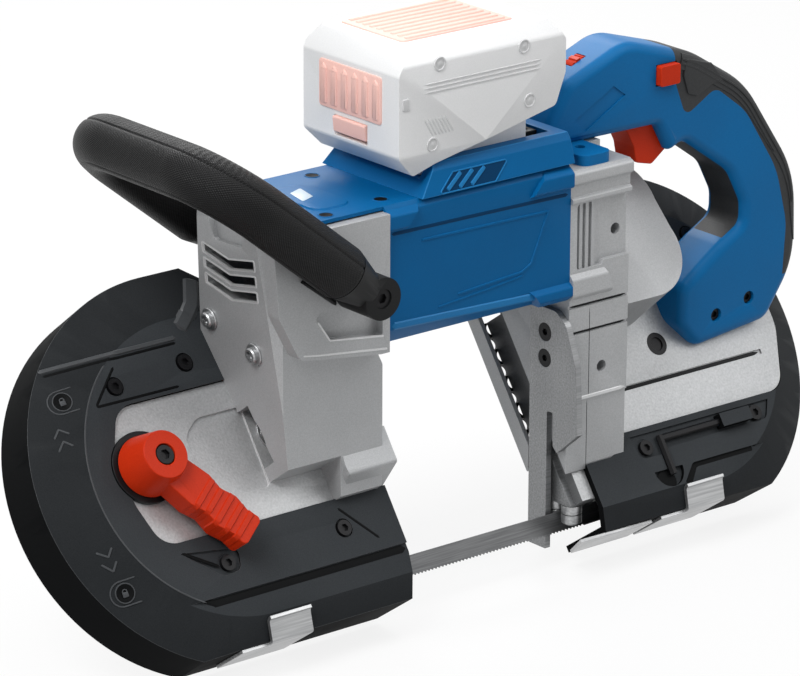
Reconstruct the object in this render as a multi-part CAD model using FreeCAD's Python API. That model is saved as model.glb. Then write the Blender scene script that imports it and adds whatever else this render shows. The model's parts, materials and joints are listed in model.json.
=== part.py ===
import FreeCAD, Part
import math
import os

# Portable band saw for one-hand-behind, one-hand-in-front use. Millimetres, +Z up.
# The origin is on the face of the work rest, in the middle of its back leg and level with
# the blade; +X runs along the blade towards the rear handle and +Y away from the near side.
# Every length below is measured from the idler axle: "tilted" pieces lie in the plane of
# the two wheels (x along the blade, b up across the plane, a out of its front), and
# "upright" pieces stand square to the work (x, y, z).

V = FreeCAD.Vector

# Blade and wheels
BLADE_RADIUS = 80.0
AXLE_SPACING = 318.7
BLADE_WIDTH = 13.0
BLADE_THICKNESS = 0.5
TOOTH_PITCH = 2.5
TOOTH_DEPTH = 1.1
WHEEL_TILT = 55.0
REST_WHEEL_GAP = 22.7
REST_X = AXLE_SPACING - BLADE_RADIUS - REST_WHEEL_GAP
TYRE_GAP = 0.3
TYRE_THICKNESS = 2.5
WHEEL_HALF_WIDTH = 7.5
WHEEL_RIM = 5.0
WHEEL_WEB = 5.0
HUB_RADIUS = 18.0
WHEEL_HOLES = 5
WHEEL_HOLE_RADIUS = 13.0
WHEEL_HOLE_CIRCLE = 45.0
AXLE_RADIUS = 9.0
AXLE_HEAD_RADIUS = 13.0
AXLE_HEAD_THICKNESS = 2.5
RUNNING_FIT = 0.06
FACE_GAP = 0.4

# Frame plates, covers and the bridge between them
PLATE_BACK = 18.0
PLATE_FRONT = 27.0
COVER_FRONT = 29.0
COVER_WALL = 4.0
COVER_FLAT_RADIUS = BLADE_RADIUS + 3.5
COVER_SHOULDER = 18.0
COVER_BACK = -15.5
COVER_DRAFT = 1.5
IDLER_COVER_RADIUS = BLADE_RADIUS + 32.5
DRIVE_COVER_RADIUS = BLADE_RADIUS + 28.5
IDLER_COVER_CEILING = BLADE_RADIUS + 17.0
IDLER_CEILING_LEFT = 26.0
IDLER_COVER_FLOOR = -BLADE_RADIUS - 21.0
DRIVE_COVER_FLOOR = -BLADE_RADIUS - 16.5
IDLER_SIDE_END = BLADE_RADIUS + 17.0
DRIVE_SIDE_END = REST_X + 10.0
GUIDE_SHOW = 9.0
COVER_STEP = 1.5
COVER_STEP_B = -BLADE_RADIUS + 9.0
SCREW_RECESS = 1.2
POCKET_RADIUS = 10.7
POCKET_DEPTH = 2.5
CLIP_LENGTH = 23.0
CLIP_WIDTH = 8.0
CLIP_RISE = 5.0
WINDOW_GAP = 0.3
IDLER_WINDOW_LEFT = -62.5
IDLER_WINDOW_TOP = 43.0
IDLER_WINDOW_BOTTOM = -36.5
DRIVE_WINDOW_RIGHT = AXLE_SPACING + BLADE_RADIUS + 10.3
DRIVE_WINDOW_TOP = BLADE_RADIUS - 28.0
DRIVE_WINDOW_BOTTOM = 35.0 - BLADE_RADIUS
FLANGE_RADIUS = BLADE_RADIUS - 1.0
FLANGE_TOP = 68.0
FLANGE_BOTTOM = -64.0
GUIDE_LUG_LENGTH = 30.0
GUIDE_LUG_REACH = BLADE_RADIUS - 4.0
BRIDGE_INNER = BLADE_RADIUS - 24.0
BRIDGE_RAIL = 14.0
PLATE_GROOVE_WIDTH = 3.0
PLATE_GROOVE_DEPTH = 1.2
DRIVE_GROOVE_B = -22.0

# Tension mechanism
LEVER_X = -48.0
LEVER_B = 7.5
LEVER_HUB_RADIUS = 17.5
LEVER_HUB_TOP = 52.0
LEVER_SEAT_RADIUS = 20.5
LEVER_SEAT_THICKNESS = 3.0
LEVER_ANGLE = -53.0
LEVER_LENGTH = 66.0
LEVER_ARM_WIDTH = 22.0
LEVER_ARM_BACK = 32.0
LEVER_ARM_FRONT = 46.0
LEVER_RIDGES = 4
CAM_SHAFT_RADIUS = 7.0
CAM_RADIUS = 11.0
CAM_OFFSET = 3.0
CAM_SLACK = 1.2
SLIDE_BACK = 9.6
SLIDE_THICKNESS = 8.0
SLIDE_HALF_WIDTH = 27.0
SLIDE_LEFT = -74.0
SLIDE_RIGHT = 40.0
SLIDE_TRAVEL = 6.0
TWIST_RUN_IN = 5.0
GIB_WIDTH = 7.0
TRACK_X = 41.0
TRACK_B = 9.0
TRACK_NUT_FLATS = 17.0
TRACK_NUT_HEIGHT = 8.0
TRACK_STUD_RADIUS = 5.0
TRACK_STUD_LENGTH = 13.0

# Upright body
BODY_MID_Y = -14.0
BODY_HALF_DEPTH = 46.0
BODY_LEFT = IDLER_SIDE_END - 9.0
BODY_BOTTOM = 71.0
DECK_Z = 151.5
RAIL_PROUD = 3.0
HOUSING_SHELL = 4.5
DECK_PLATE = 2.0
DECK_PLATE_LEFT = 40.0
DECK_PLATE_FRONT = -54.0
HOUSING_CHAMFER = 10.0
MOTOR_Z = 101.0
STATOR_RADIUS = 27.0
STATOR_RIB = 4.0
STATOR_END_GAP = 22.0
ROTOR_RADIUS = 15.0
STATOR_BORE = 15.6
SHAFT_RADIUS = 4.0
MOTOR_WALL = 8.0
MOTOR_BEARING_RADIUS = 9.5
MOTOR_BEARING_WIDTH = 7.0
FAN_RADIUS = 24.0
FAN_WIDTH = 12.0
FAN_BLADES = 9
FAN_WALL_GAP = 6.0
FAN_STATOR_GAP = 8.0

# Front casting
CASTING_LEFT = 11.0
CASTING_FOOT_LEFT = 33.0
CASTING_HALF_DEPTH = 36.0
CASTING_WALL = 6.0
VENT_COUNT = 3
VENT_PITCH = 9.0
VENT_TOP_Z = 128.0
VENT_HALF_WIDTH = 22.5
VENT_HEIGHT = 5.0
VENT_DIP = 4.5
ARCH_RADIUS = 19.0
ARCH_TOP = 47.0
BACK_PAD_LEFT = 34.0
LUG_TOP = 48.0
LUG_LENGTH = 35.5
LUG_BACK = -8.0
LUG_ROUND = 12.0
PAD_PANEL_DEPTH = 6.0

# Gears: a bevel pair on the motor shaft, then a spur pair to the drive wheel
SPUR_MODULE = 2.0
PINION_TEETH = 15
GEAR_TEETH = 65
SPUR_BACKLASH = 0.35
GEAR_BACK = 9.6
GEAR_WIDTH = 6.0
COUNTERSHAFT_RADIUS = 6.0
COUNTER_BEARING_RADIUS = 11.0
COUNTER_BEARING_WIDTH = 7.0
DRIVE_BEARING_RADIUS = 17.0
BEVEL_MODULE = 1.6
BEVEL_PINION_TEETH = 12
CROWN_TEETH = 30
BEVEL_FACE = 8.0
BEVEL_THICKNESS_SHARE = 0.34

# Gear housing
COLUMN_WIDTH = 44.0
COLUMN_TOP = 147.0
COLUMN_PANEL_DEPTH = 3.0
COLUMN_WALL = 7.0
COLUMN_CORE_TOP = 78.0
COLUMN_GROOVE = 1.2
DOME_TOP = 70.0
DOME_WALL = 4.0
DOME_X = AXLE_SPACING - 20.7
DOME_B = 47.0
DOME_RADIUS = 28.0
DOME_DRAFT = 5.0
GEAR_CAVITY_RADIUS = 27.5
PINION_CAVITY_RADIUS = 12.8
FIXING_HOLE_RADIUS = 3.4
FIXING_HOLE_DEPTH = 17.0
FIXING_HOLES = [(36.0, 106.0), (24.7, 27.5)]

# Work rest, guides and guards at the throat
REST_THICKNESS = 4.0
REST_BELOW_BLADE = 15.0
REST_TOP = 64.0
REST_BACK_REACH = 17.5
REST_FRONT_REACH = 24.1
REST_SLOT_BACK = 2.3
REST_SLOT_FRONT = 3.1
REST_SLOT_TOP = 3.0
REST_SCREW_REACH = 4.9
REST_SCREW_Z = [49.5, 34.0]
REST_SCREW_HEAD = 5.5
REST_SCREW_SHANK = 2.5
ROLLER_RADIUS = 6.0
ROLLER_WIDTH = 5.0
ROLLER_GAP = 0.3
ROLLER_PIN_RADIUS = 2.5
GUIDE_BLOCK_LENGTH = 22.0
GUIDE_BLOCK_FRONT = 12.1
GUIDE_BLOCK_BACK = 12.9
GUIDE_BLOCK_RISE = 12.5
GUARD_STRIP_LOW = -33.0
THROAT_BAR_LOW = -47.0
GUARD_STRIP_HIGH = 42.0
GUARD_RIB_LOW = -26.0
GUARD_RIB_WIDTH = 6.0
GUARD_STRIP_WIDTH = 16.0
GUARD_STRIP_THICKNESS = 3.0
GUARD_HOLE_RADIUS = 3.6
GUARD_HOLES = 9
THROAT_BAR_THICKNESS = 3.0
THROAT_BAR_HEIGHT = 10.0
GUARD_PLATE_LEFT = REST_X - 1.0
GUARD_HOOK_GAP = 6.0
GUARD_PLATE_THICKNESS = 2.0
HOOK_WIDTH = 28.0
HOOK_THICKNESS = 2.0
HOOK_RISE = 12.0
HOOK_LIP = 4.0
HOOK_BEND = 2.5
HOOK_BASE = 18.0
HOOK_GAP = 0.3
IDLER_HOOK_X = -8.0
DRIVE_HOOK_X = AXLE_SPACING - 22.7

# Front handle
HANDLE_SOCKET_X = 61.5
HANDLE_SOCKET_Z = 112.8
HANDLE_SLOPE = 141.3
HANDLE_SIDE_GAP = 2.5
HANDLE_REACH = 128.0
HANDLE_BEND = 34.0
GRIP_RADIUS = 15.5
HANDLE_CORE_RADIUS = 9.0
HANDLE_HALF_SPAN = BODY_HALF_DEPTH + GRIP_RADIUS + HANDLE_SIDE_GAP
GRIP_START = 26.0
SOCKET_RADIUS = 12.0
ARM_START = 6.0
ARM_START_RADIUS = 10.0
HANDLE_BOLT_RADIUS = 5.5
HANDLE_BOLT_HEAD = 5.0

# Rear handle and its controls
REAR_HALF_DEPTH = 17.0
REAR_ROUND = 6.0
REAR_WALL = 5.0
REAR_PANEL_DEPTH = 0.8
REAR_SCREW_RADIUS = 4.0
REAR_SCREW_DEPTH = 4.0
REAR_SCREWS = [(38.1, 27.5), (63.8, 32.9)]
EAR_LEFT = 10.0
EAR_RIGHT = 32.0
EAR_HOLE_X = 22.0
EAR_HOLE_Y = -39.0
EAR_HOLE_RADIUS = 3.0
EAR_RISE = 1.5
SWITCH_LEFT = 5.3
SWITCH_LENGTH = 24.0
TRIGGER_HALF_WIDTH = 9.0
TRIGGER_TRAVEL = 6.0
TRIGGER_SLOPE = 38.0
TRIGGER_GAP = 0.6
DIAL_X = AXLE_SPACING - 56.7
DIAL_Z = 186.0
DIAL_RADIUS = 11.0
DIAL_HALF_WIDTH = 3.5
DIAL_GROOVES = 15
LOCK_X = AXLE_SPACING - 12.7
LOCK_Z = 187.0
LOCK_LENGTH = 15.0
LOCK_HEIGHT = 12.0
LOCK_PROUD = 4.0
CONTROL_GAP = 0.4

# Battery and dock
DOCK_LENGTH = 110.0
DOCK_HALF_DEPTH = 40.0
DOCK_FLARE = 4.0
DOCK_FLOOR_Z = DECK_Z + 8.5
DOCK_TOP_Z = DECK_Z + 17.0
DOCK_WALL = 7.0
DOCK_LIP = 3.0
DOCK_LIP_HEIGHT = 5.0
DOCK_END_WALL = 8.0
TERMINAL_LENGTH = 16.0
TERMINAL_HALF_WIDTH = 20.0
TERMINAL_HEIGHT = 7.0
TERMINAL_SLOTS = 4
PACK_LENGTH = 118.5
PACK_TOP_Z = 236.0
PACK_TAIL_Z = 187.0
PACK_HALF_WIDTH = 41.5
PACK_GAP = 0.4
PACK_PANEL = 2.0
PACK_PANEL_HALF_WIDTH = 27.0
PACK_RIBS = 5
LATCH_HALF_WIDTH = 14.0
LATCH_BOTTOM = 178.0
LATCH_TOP = 189.0
LATCH_PROUD = 3.0
LATCH_DEPTH = 8.0
LATCH_TRAVEL = 3.0

# Fasteners
COVER_SCREW_HEAD = 4.5
COVER_SCREW_HEIGHT = 2.5
COVER_SCREW_SHANK = 2.0
SCREW_PLAY = 0.1
IDLER_COVER_SCREWS = [(-47.8, 54.5), (0.5, 58.0), (-19.9, -54.6), (60.4, -53.7)]
DRIVE_COVER_SCREWS = [(AXLE_SPACING - 38.2, DRIVE_WINDOW_BOTTOM - 12.3), (AXLE_SPACING + 48.1, DRIVE_WINDOW_BOTTOM - 9.9),
                      (AXLE_SPACING + 50.7, DRIVE_WINDOW_TOP + 6.0)]
KEY_RADIUS = 2.0
KEY_LONG = 56.0
KEY_SHORT = 22.0
KEY_X = AXLE_SPACING - 26.7
KEY_B = DRIVE_WINDOW_BOTTOM - 9.5
KEY_CLIP_X = AXLE_SPACING + 18.3

# Places that follow from the sizes above
COS = math.cos(math.radians(WHEEL_TILT))
SIN = math.sin(math.radians(WHEEL_TILT))
CUT_Y = -BLADE_RADIUS * COS
CUT_Z = -BLADE_RADIUS * SIN
REST_BACK_Y = CUT_Y + REST_BACK_REACH
REST_FRONT_Y = CUT_Y - REST_FRONT_REACH
REST_SLOT_BACK_Y = CUT_Y + REST_SLOT_BACK
REST_SLOT_FRONT_Y = CUT_Y - REST_SLOT_FRONT
REST_SCREW_Y = CUT_Y + REST_SCREW_REACH
REST_BOTTOM = CUT_Z - REST_BELOW_BLADE
GUIDE_BLOCK_FRONT_Y = CUT_Y - GUIDE_BLOCK_FRONT
GUIDE_BLOCK_BACK_Y = CUT_Y + GUIDE_BLOCK_BACK
GUIDE_BLOCK_Z = CUT_Z + GUIDE_BLOCK_RISE
ORIGIN = V(-REST_X, -(REST_BACK_Y + REST_SLOT_BACK_Y) / 2, -CUT_Z)
TILT = FreeCAD.Rotation(V(1, 0, 0), WHEEL_TILT)
FAR = 900.0
TYRE_RADIUS = BLADE_RADIUS - BLADE_THICKNESS / 2 - TYRE_GAP
WHEEL_RADIUS = TYRE_RADIUS - TYRE_THICKNESS
BODY_FRONT = BODY_MID_Y - BODY_HALF_DEPTH
BODY_BACK = BODY_MID_Y + BODY_HALF_DEPTH
BODY_FACE = BODY_FRONT + RAIL_PROUD
MOTOR_B = BODY_MID_Y * COS + MOTOR_Z * SIN
MOTOR_A = MOTOR_Z * COS - BODY_MID_Y * SIN
SPUR_DISTANCE = SPUR_MODULE * (PINION_TEETH + GEAR_TEETH) / 2
COUNTER_X = AXLE_SPACING - math.sqrt(SPUR_DISTANCE ** 2 - MOTOR_B ** 2)
CROWN_RADIUS = BEVEL_MODULE * CROWN_TEETH / 2
BEVEL_PINION_RADIUS = BEVEL_MODULE * BEVEL_PINION_TEETH / 2
COLUMN_LEFT = REST_X + REST_THICKNESS
COLUMN_RIGHT = COLUMN_LEFT + COLUMN_WIDTH
BODY_RIGHT = COLUMN_LEFT
FAN_LEFT = BODY_LEFT + MOTOR_WALL + FAN_WALL_GAP
STATOR_LEFT = FAN_LEFT + FAN_WIDTH + FAN_STATOR_GAP
STATOR_LENGTH = BODY_RIGHT - MOTOR_WALL - STATOR_END_GAP - STATOR_LEFT
DOCK_RIGHT = COLUMN_LEFT + 2.0
DOCK_LEFT = DOCK_RIGHT - DOCK_LENGTH
PACK_RIGHT = COLUMN_LEFT - 4.0
PACK_LEFT = PACK_RIGHT - PACK_LENGTH
COVER_INNER = COVER_FRONT - COVER_WALL
SLIDE_FRONT = SLIDE_BACK + SLIDE_THICKNESS
X_AXIS = V(1, 0, 0)
Y_AXIS = V(0, 1, 0)
Z_AXIS = V(0, 0, 1)


def tilted(shape):
    """Place a shape that was drawn in the wheel plane (x, b, a)."""
    placed = shape.copy()
    placed.Placement = FreeCAD.Placement(ORIGIN, TILT).multiply(shape.Placement)
    return placed


def upright(shape):
    """Place a shape that was drawn square to the work (x, y, z)."""
    placed = shape.copy()
    placed.Placement = FreeCAD.Placement(ORIGIN, FreeCAD.Rotation()).multiply(shape.Placement)
    return placed


def box(x0, x1, y0, y1, z0, z1):
    """Block between two corners."""
    return Part.makeBox(x1 - x0, y1 - y0, z1 - z0, V(x0, y0, z0))


def rod(radius, start, axis, length):
    """Cylinder from a start point along an axis."""
    return Part.makeCylinder(radius, length, start, axis)


def ring(outer, inner, start, axis, length):
    """Hollow cylinder."""
    return rod(outer, start, axis, length).cut(rod(inner, start, axis, length))


def unit(vector):
    """A copy of the vector with length one."""
    return V(vector).normalize()


def lift(u, v, w, axis):
    """Point at height w on an axis, with u and v across it."""
    places = {"x": V(w, u, v), "y": V(u, w, v), "z": V(u, v, w)}
    return places[axis]


def outline(corners, axis, level):
    """Closed wire through corners (u, v, radius), each rounded by a tangent arc."""
    points = [V(corner[0], corner[1], 0) for corner in corners]
    joints = []
    for index, corner in enumerate(corners):
        here = points[index]
        back = unit(points[index - 1] - here)
        ahead = unit(points[(index + 1) % len(points)] - here)
        radius = corner[2] if len(corner) > 2 else 0
        if radius == 0:
            joints.append((here, None, here))
            continue
        half = back.getAngle(ahead) / 2
        reach = radius / math.tan(half)
        centre = here + unit(back + ahead) * (radius / math.sin(half))
        middle = centre + unit(here - centre) * radius
        joints.append((here + back * reach, middle, here + ahead * reach))
    edges = []
    for index, joint in enumerate(joints):
        first, middle, last = [p and lift(p.x, p.y, level, axis) for p in joint]
        if middle is not None:
            edges.append(Part.Arc(first, middle, last).toShape())
        start = joints[(index + 1) % len(joints)][0]
        following = lift(start.x, start.y, level, axis)
        if last.distanceToPoint(following) > 1e-6:
            edges.append(Part.LineSegment(last, following).toShape())
    return Part.Wire(edges)


def prism(corners, axis, low, high):
    """Solid of an outline carried along an axis from low to high."""
    travel = lift(0, 0, high - low, axis)
    solid = Part.Face(outline(corners, axis, low)).extrude(travel)
    return solid if solid.Volume > 0 else solid.reversed()


def rectangle(u0, u1, v0, v1, radius=0):
    """Corners of a rectangle, all rounded alike."""
    return [(u0, v0, radius), (u1, v0, radius), (u1, v1, radius), (u0, v1, radius)]


def mirrored_y(shape):
    """Mirror image in the body's middle plane, for shapes drawn upright."""
    return shape.mirror(V(0, BODY_MID_Y, 0), Y_AXIS)


def joined(shapes):
    """One solid from shapes that touch or overlap."""
    return shapes[0].fuse(shapes[1:]).removeSplitter()


def behind_plane(level):
    """Everything behind a plane parallel to the wheels, already in place."""
    return tilted(box(-FAR, FAR, -FAR, FAR, -FAR, level))


def drive_axis(a):
    """Point on the drive wheel's axis, drawn in the wheel plane."""
    return V(AXLE_SPACING, 0, a)


def counter_axis(a):
    """Point on the countershaft's axis, drawn in the wheel plane."""
    return V(COUNTER_X, MOTOR_B, a)


def motor_axis(x):
    """Point on the motor shaft's axis, drawn upright."""
    return V(x, BODY_MID_Y, MOTOR_Z)


def gear_outline(teeth, backlash):
    """Corners of a spur gear: involute flanks through root, pitch and tip."""
    pitch = SPUR_MODULE * teeth / 2
    base = pitch * math.cos(math.radians(20))
    root = pitch - 1.25 * SPUR_MODULE
    tip = pitch + 0.9 * SPUR_MODULE
    half = math.pi / (2 * teeth) - backlash / (2 * pitch)

    def involute(radius):
        angle = math.acos(min(1.0, base / radius))
        return math.tan(angle) - angle

    corners = []
    for tooth in range(teeth):
        middle = 2 * math.pi * tooth / teeth
        flank = [(root, max(root, base)), (pitch, pitch), (tip, tip)]
        offsets = [(r, half + involute(pitch) - involute(rr)) for r, rr in flank]
        for radius, offset in offsets:
            corners.append((radius * math.cos(middle - offset), radius * math.sin(middle - offset)))
        for radius, offset in reversed(offsets):
            corners.append((radius * math.cos(middle + offset), radius * math.sin(middle + offset)))
    return corners


def moved(corners, u, v, turn=0.0):
    """Corners turned by an angle in degrees and shifted."""
    c = math.cos(math.radians(turn))
    s = math.sin(math.radians(turn))
    return [(u + c * p[0] - s * p[1], v + s * p[0] + c * p[1]) + tuple(p[2:]) for p in corners]


def hexahedron(outer, inner):
    """Solid between two four-cornered ends whose corners lie on shared rays."""
    faces = [outer, inner[::-1]]
    for index in range(4):
        after = (index + 1) % 4
        faces.append([outer[after], outer[index], inner[index], inner[after]])
    shell = Part.Shell([Part.Face(Part.makePolygon(face + [face[0]])) for face in faces])
    solid = Part.Solid(shell)
    return solid if solid.Volume > 0 else solid.reversed()


def bevel_gear(teeth, mate_teeth, hub_length, bore, phase):
    """Straight bevel gear on +Z with its cone's tip at the origin and its teeth below."""
    pitch = BEVEL_MODULE * teeth / 2
    depth = BEVEL_MODULE * mate_teeth / 2
    cone = math.hypot(pitch, depth)
    shrink = 1 - BEVEL_FACE / cone
    along = V(pitch / cone, 0, -depth / cone)
    normal = V(depth / cone, 0, pitch / cone)
    rise = 0.8 * BEVEL_MODULE
    fall = 1.1 * BEVEL_MODULE
    sunk = 1.8 * BEVEL_MODULE
    half = BEVEL_THICKNESS_SHARE * math.pi * BEVEL_MODULE / 2
    slope = math.tan(math.radians(22))
    root_out = along * cone - normal * fall
    root_in = root_out * shrink
    profile = [V(bore, 0, root_in.z), root_in, root_out, V(root_out.x, 0, -depth - hub_length),
               V(bore, 0, -depth - hub_length)]
    face = Part.Face(Part.makePolygon(profile + [profile[0]]))
    body = face.revolve(V(0, 0, 0), Z_AXIS, 360)
    ends = []
    for side, height in ((-1, -sunk), (1, -sunk), (1, rise), (-1, rise)):
        ends.append(along * cone + normal * height + Y_AXIS * (side * (half - slope * height)))
    tooth = hexahedron(ends, [point * shrink for point in ends])
    pieces = [body]
    for index in range(teeth):
        pieces.append(tooth.rotated(V(0, 0, 0), Z_AXIS, 360 * (index + phase) / teeth))
    return joined(pieces)


def cover_body(centre, end, radius, floor, inset):
    """Filled form of a wheel cover, drawn in the wheel plane; inset thins it for the cavity."""
    front = COVER_FRONT - inset
    rim = radius - inset
    back = COVER_BACK - (1 if inset else 0)
    reach = end + math.copysign(1 if inset else 0, end - centre)
    flat = COVER_FLAT_RADIUS - inset * 0.4
    section = [(0, front), (flat, front), (rim, COVER_SHOULDER - inset * 0.6), (rim - COVER_DRAFT, back),
               (0, back)]
    upper = Part.makePolygon([V(centre, r, a) for r, a in section + section[:1]])
    lower = Part.makePolygon([V(centre, -r, a) for r, a in section + section[:1]])
    turn = 180 if end > centre else -180
    dome = Part.Face(upper).revolve(V(centre, 0, 0), Z_AXIS, turn)
    arms = [Part.Face(wire).extrude(V(reach - centre, 0, 0)) for wire in (upper, lower)]
    body = joined([dome] + arms).cut(box(-FAR, FAR, -FAR, floor + inset, -FAR, FAR))
    if end < centre:
        return body
    ceiling = IDLER_COVER_CEILING - inset
    left = IDLER_CEILING_LEFT - inset
    notch = [(left, radius + 1), (left + radius - ceiling, ceiling), (FAR, ceiling), (FAR, radius + 1)]
    return body.cut(prism(notch, "z", -FAR, FAR))


def window_corners(side, gap):
    """Outline of the bare plate that shows through a cover."""
    if side == "idler":
        left = IDLER_WINDOW_LEFT - gap
        top = IDLER_WINDOW_TOP + gap
        bottom = IDLER_WINDOW_BOTTOM - gap
        right = IDLER_SIDE_END + (1 if gap else 0)
        return [(left + 8, bottom, 14), (right, bottom), (right, top), (left + 11, top, 16),
                (left, 20, 30), (left, -10, 30)]
    left = DRIVE_SIDE_END - (1 if gap else 0)
    right = DRIVE_WINDOW_RIGHT + gap
    top = DRIVE_WINDOW_TOP + gap
    bottom = DRIVE_WINDOW_BOTTOM - gap
    return [(left, bottom), (right - 14, bottom, 14), (right, -8, 30), (right, 24, 30),
            (right - 20, top, 16), (left, top)]


def screw_holes(places, low, high):
    """Clearance rods for a row of screws, drawn in the wheel plane."""
    radius = COVER_SCREW_SHANK + SCREW_PLAY
    return [rod(radius, V(x, b, low), Z_AXIS, high - low) for x, b in places]


def wheel_cover(side):
    """Moulded cover round one wheel, open at the back and towards the throat."""
    idler = side == "idler"
    centre = 0 if idler else AXLE_SPACING
    end = IDLER_SIDE_END if idler else DRIVE_SIDE_END
    radius = IDLER_COVER_RADIUS if idler else DRIVE_COVER_RADIUS
    floor = IDLER_COVER_FLOOR if idler else DRIVE_COVER_FLOOR
    screws = IDLER_COVER_SCREWS if idler else DRIVE_COVER_SCREWS
    outer = cover_body(centre, end, radius, floor, 0)
    cavity = cover_body(centre, end, radius, floor, COVER_WALL)
    window = prism(window_corners(side, WINDOW_GAP), "z", PLATE_BACK, COVER_FRONT + 1)
    if idler:
        place = V(LEVER_X, LEVER_B, PLATE_FRONT)
        notch = rod(LEVER_SEAT_RADIUS + WINDOW_GAP, place, Z_AXIS, FAR)
    else:
        notch = case_foot(WINDOW_GAP, 0, FAR)
    cover = outer.cut(cavity).cut([window, notch] + cover_reliefs(side))
    sinks = [rod(COVER_SCREW_HEAD + 1, V(x, b, COVER_FRONT - 1.5), Z_AXIS, 3) for x, b in screws]
    cover = cover.cut(sinks + screw_holes(screws, COVER_INNER - 1, COVER_FRONT))
    return tilted(cover if idler else joined([cover, key_clip()]))


def cover_reliefs(side):
    """Stepped apron, screw recess and throat end of a cover, as shapes to cut away."""
    low = -FAR
    step = COVER_FRONT - COVER_STEP
    recess = COVER_FRONT - SCREW_RECESS
    if side == "idler":
        end = IDLER_SIDE_END
        apron = box(-IDLER_COVER_RADIUS, end + 1, low, COVER_STEP_B, step, FAR)
        tip = [(end, COVER_STEP_B - 5), (end + 2, COVER_STEP_B - 5), (end + 2, low), (end - 5.5, low),
               (end - 5.5, IDLER_COVER_FLOOR)]
        throat = prism(tip, "z", -FAR, FAR)
        screw = prism([(-46.5, -43), (-10, -48, 4), (-13, -60, 5), (-25, -61, 4)], "z", recess, FAR)
        return [apron, throat, screw]
    x = AXLE_SPACING
    edge = [(-9.7, COVER_STEP_B - 2, 4), (FAR, COVER_STEP_B - 3), (FAR, low), (-FAR, low),
            (-FAR, DRIVE_COVER_FLOOR - 8), (-46, DRIVE_COVER_FLOOR - 8), (-29.7, DRIVE_COVER_FLOOR + 4.5, 6)]
    apron = prism(moved(edge, x, 0), "z", step, FAR)
    trench = [(-46.7, -4), (61.3, -4.2), (55, -15, 5), (42, -15, 5), (-24, -15.5), (-30, -18.5, 4), (-44, -18, 4)]
    screws = prism(moved(trench, x, DRIVE_WINDOW_BOTTOM), "z", recess, FAR)
    pocket = rod(POCKET_RADIUS, V(x - 28.2, COVER_STEP_B - 1.5, COVER_FRONT - POCKET_DEPTH), Z_AXIS, FAR)
    pocket = pocket.common(box(-FAR, FAR, low, COVER_STEP_B - 1.5, -FAR, FAR))
    throat = box(DRIVE_SIDE_END - 1, DRIVE_SIDE_END + GUIDE_SHOW, low, DRIVE_WINDOW_BOTTOM, -FAR, FAR)
    corner = [(DRIVE_SIDE_END, DRIVE_WINDOW_BOTTOM + 1), (DRIVE_SIDE_END, DRIVE_WINDOW_BOTTOM - 12),
              (COLUMN_RIGHT - 10, DRIVE_WINDOW_BOTTOM - 12), (COLUMN_RIGHT - 2, DRIVE_WINDOW_BOTTOM - 9),
              (COLUMN_RIGHT - 2, DRIVE_WINDOW_BOTTOM + 1)]
    throat = throat.fuse(prism(corner, "z", -FAR, FAR))
    width = KEY_RADIUS + FACE_GAP
    groove = box(KEY_X - width, KEY_X + width, KEY_B - KEY_SHORT - FACE_GAP, KEY_B, recess, FAR)
    return [apron, screws, pocket, throat, groove]


def key_clip():
    """Raised loop on the drive cover that the hex key is pushed into."""
    half = CLIP_WIDTH / 2
    block = box(KEY_CLIP_X, KEY_CLIP_X + CLIP_LENGTH, KEY_B - half, KEY_B + half, COVER_FRONT - SCREW_RECESS,
                COVER_FRONT + CLIP_RISE)
    tunnel = prism(moved(hexagon(2 * KEY_RADIUS + 2 * SCREW_PLAY), KEY_B, key_level()), "x", KEY_CLIP_X - 1,
                   KEY_X + KEY_LONG + 1)
    return block.cut(tunnel)


def key_level():
    """Height a of the stored hex key's middle."""
    return COVER_FRONT - SCREW_RECESS + KEY_RADIUS + SCREW_PLAY


def cover_screws():
    """Socket-head screws that hold the two covers to the frame."""
    pieces = []
    for x, b in IDLER_COVER_SCREWS + DRIVE_COVER_SCREWS:
        seat = COVER_FRONT - 1.5
        shank = rod(COVER_SCREW_SHANK, V(x, b, PLATE_BACK + 1), Z_AXIS, seat - PLATE_BACK - 1)
        head = rod(COVER_SCREW_HEAD, V(x, b, seat), Z_AXIS, COVER_SCREW_HEIGHT)
        socket = prism(moved(hexagon(4.0), x, b), "z", seat + 0.8, seat + COVER_SCREW_HEIGHT + 1)
        pieces.append(tilted(shank.fuse(head).cut(socket).removeSplitter()))
    return Part.makeCompound(pieces)


def hexagon(flats):
    """Corners of a hexagon with the given width across flats."""
    reach = flats / math.sqrt(3)
    return [(reach * math.cos(math.radians(60 * k)), reach * math.sin(math.radians(60 * k))) for k in range(6)]


def plate(side):
    """Raised plate and its hidden flange, drawn in the wheel plane."""
    idler = side == "idler"
    centre = 0 if idler else AXLE_SPACING
    end = IDLER_SIDE_END if idler else DRIVE_SIDE_END
    raised = prism(window_corners(side, 0), "z", PLATE_BACK, PLATE_FRONT)
    disc = rod(FLANGE_RADIUS, V(centre, 0, PLATE_BACK), Z_AXIS, COVER_INNER - PLATE_BACK)
    low_x = min(centre, end)
    high_x = max(centre, end)
    arm = box(low_x, high_x, -FLANGE_RADIUS, FLANGE_RADIUS, PLATE_BACK, COVER_INNER)
    band = box(-FAR, FAR, FLANGE_BOTTOM, FLANGE_TOP, 0, COVER_INNER)
    outside = box(-FAR, end, -FAR, FAR, 0, FAR) if idler else box(end, FAR, -FAR, FAR, 0, FAR)
    flange = disc.fuse(arm).common(band).common(outside)
    lug_far = end - GUIDE_LUG_LENGTH if idler else end + GUIDE_LUG_LENGTH
    lug = box(min(end, lug_far), max(end, lug_far), -GUIDE_LUG_REACH, 0, PLATE_BACK, COVER_INNER)
    return joined([raised, flange, lug])


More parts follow.
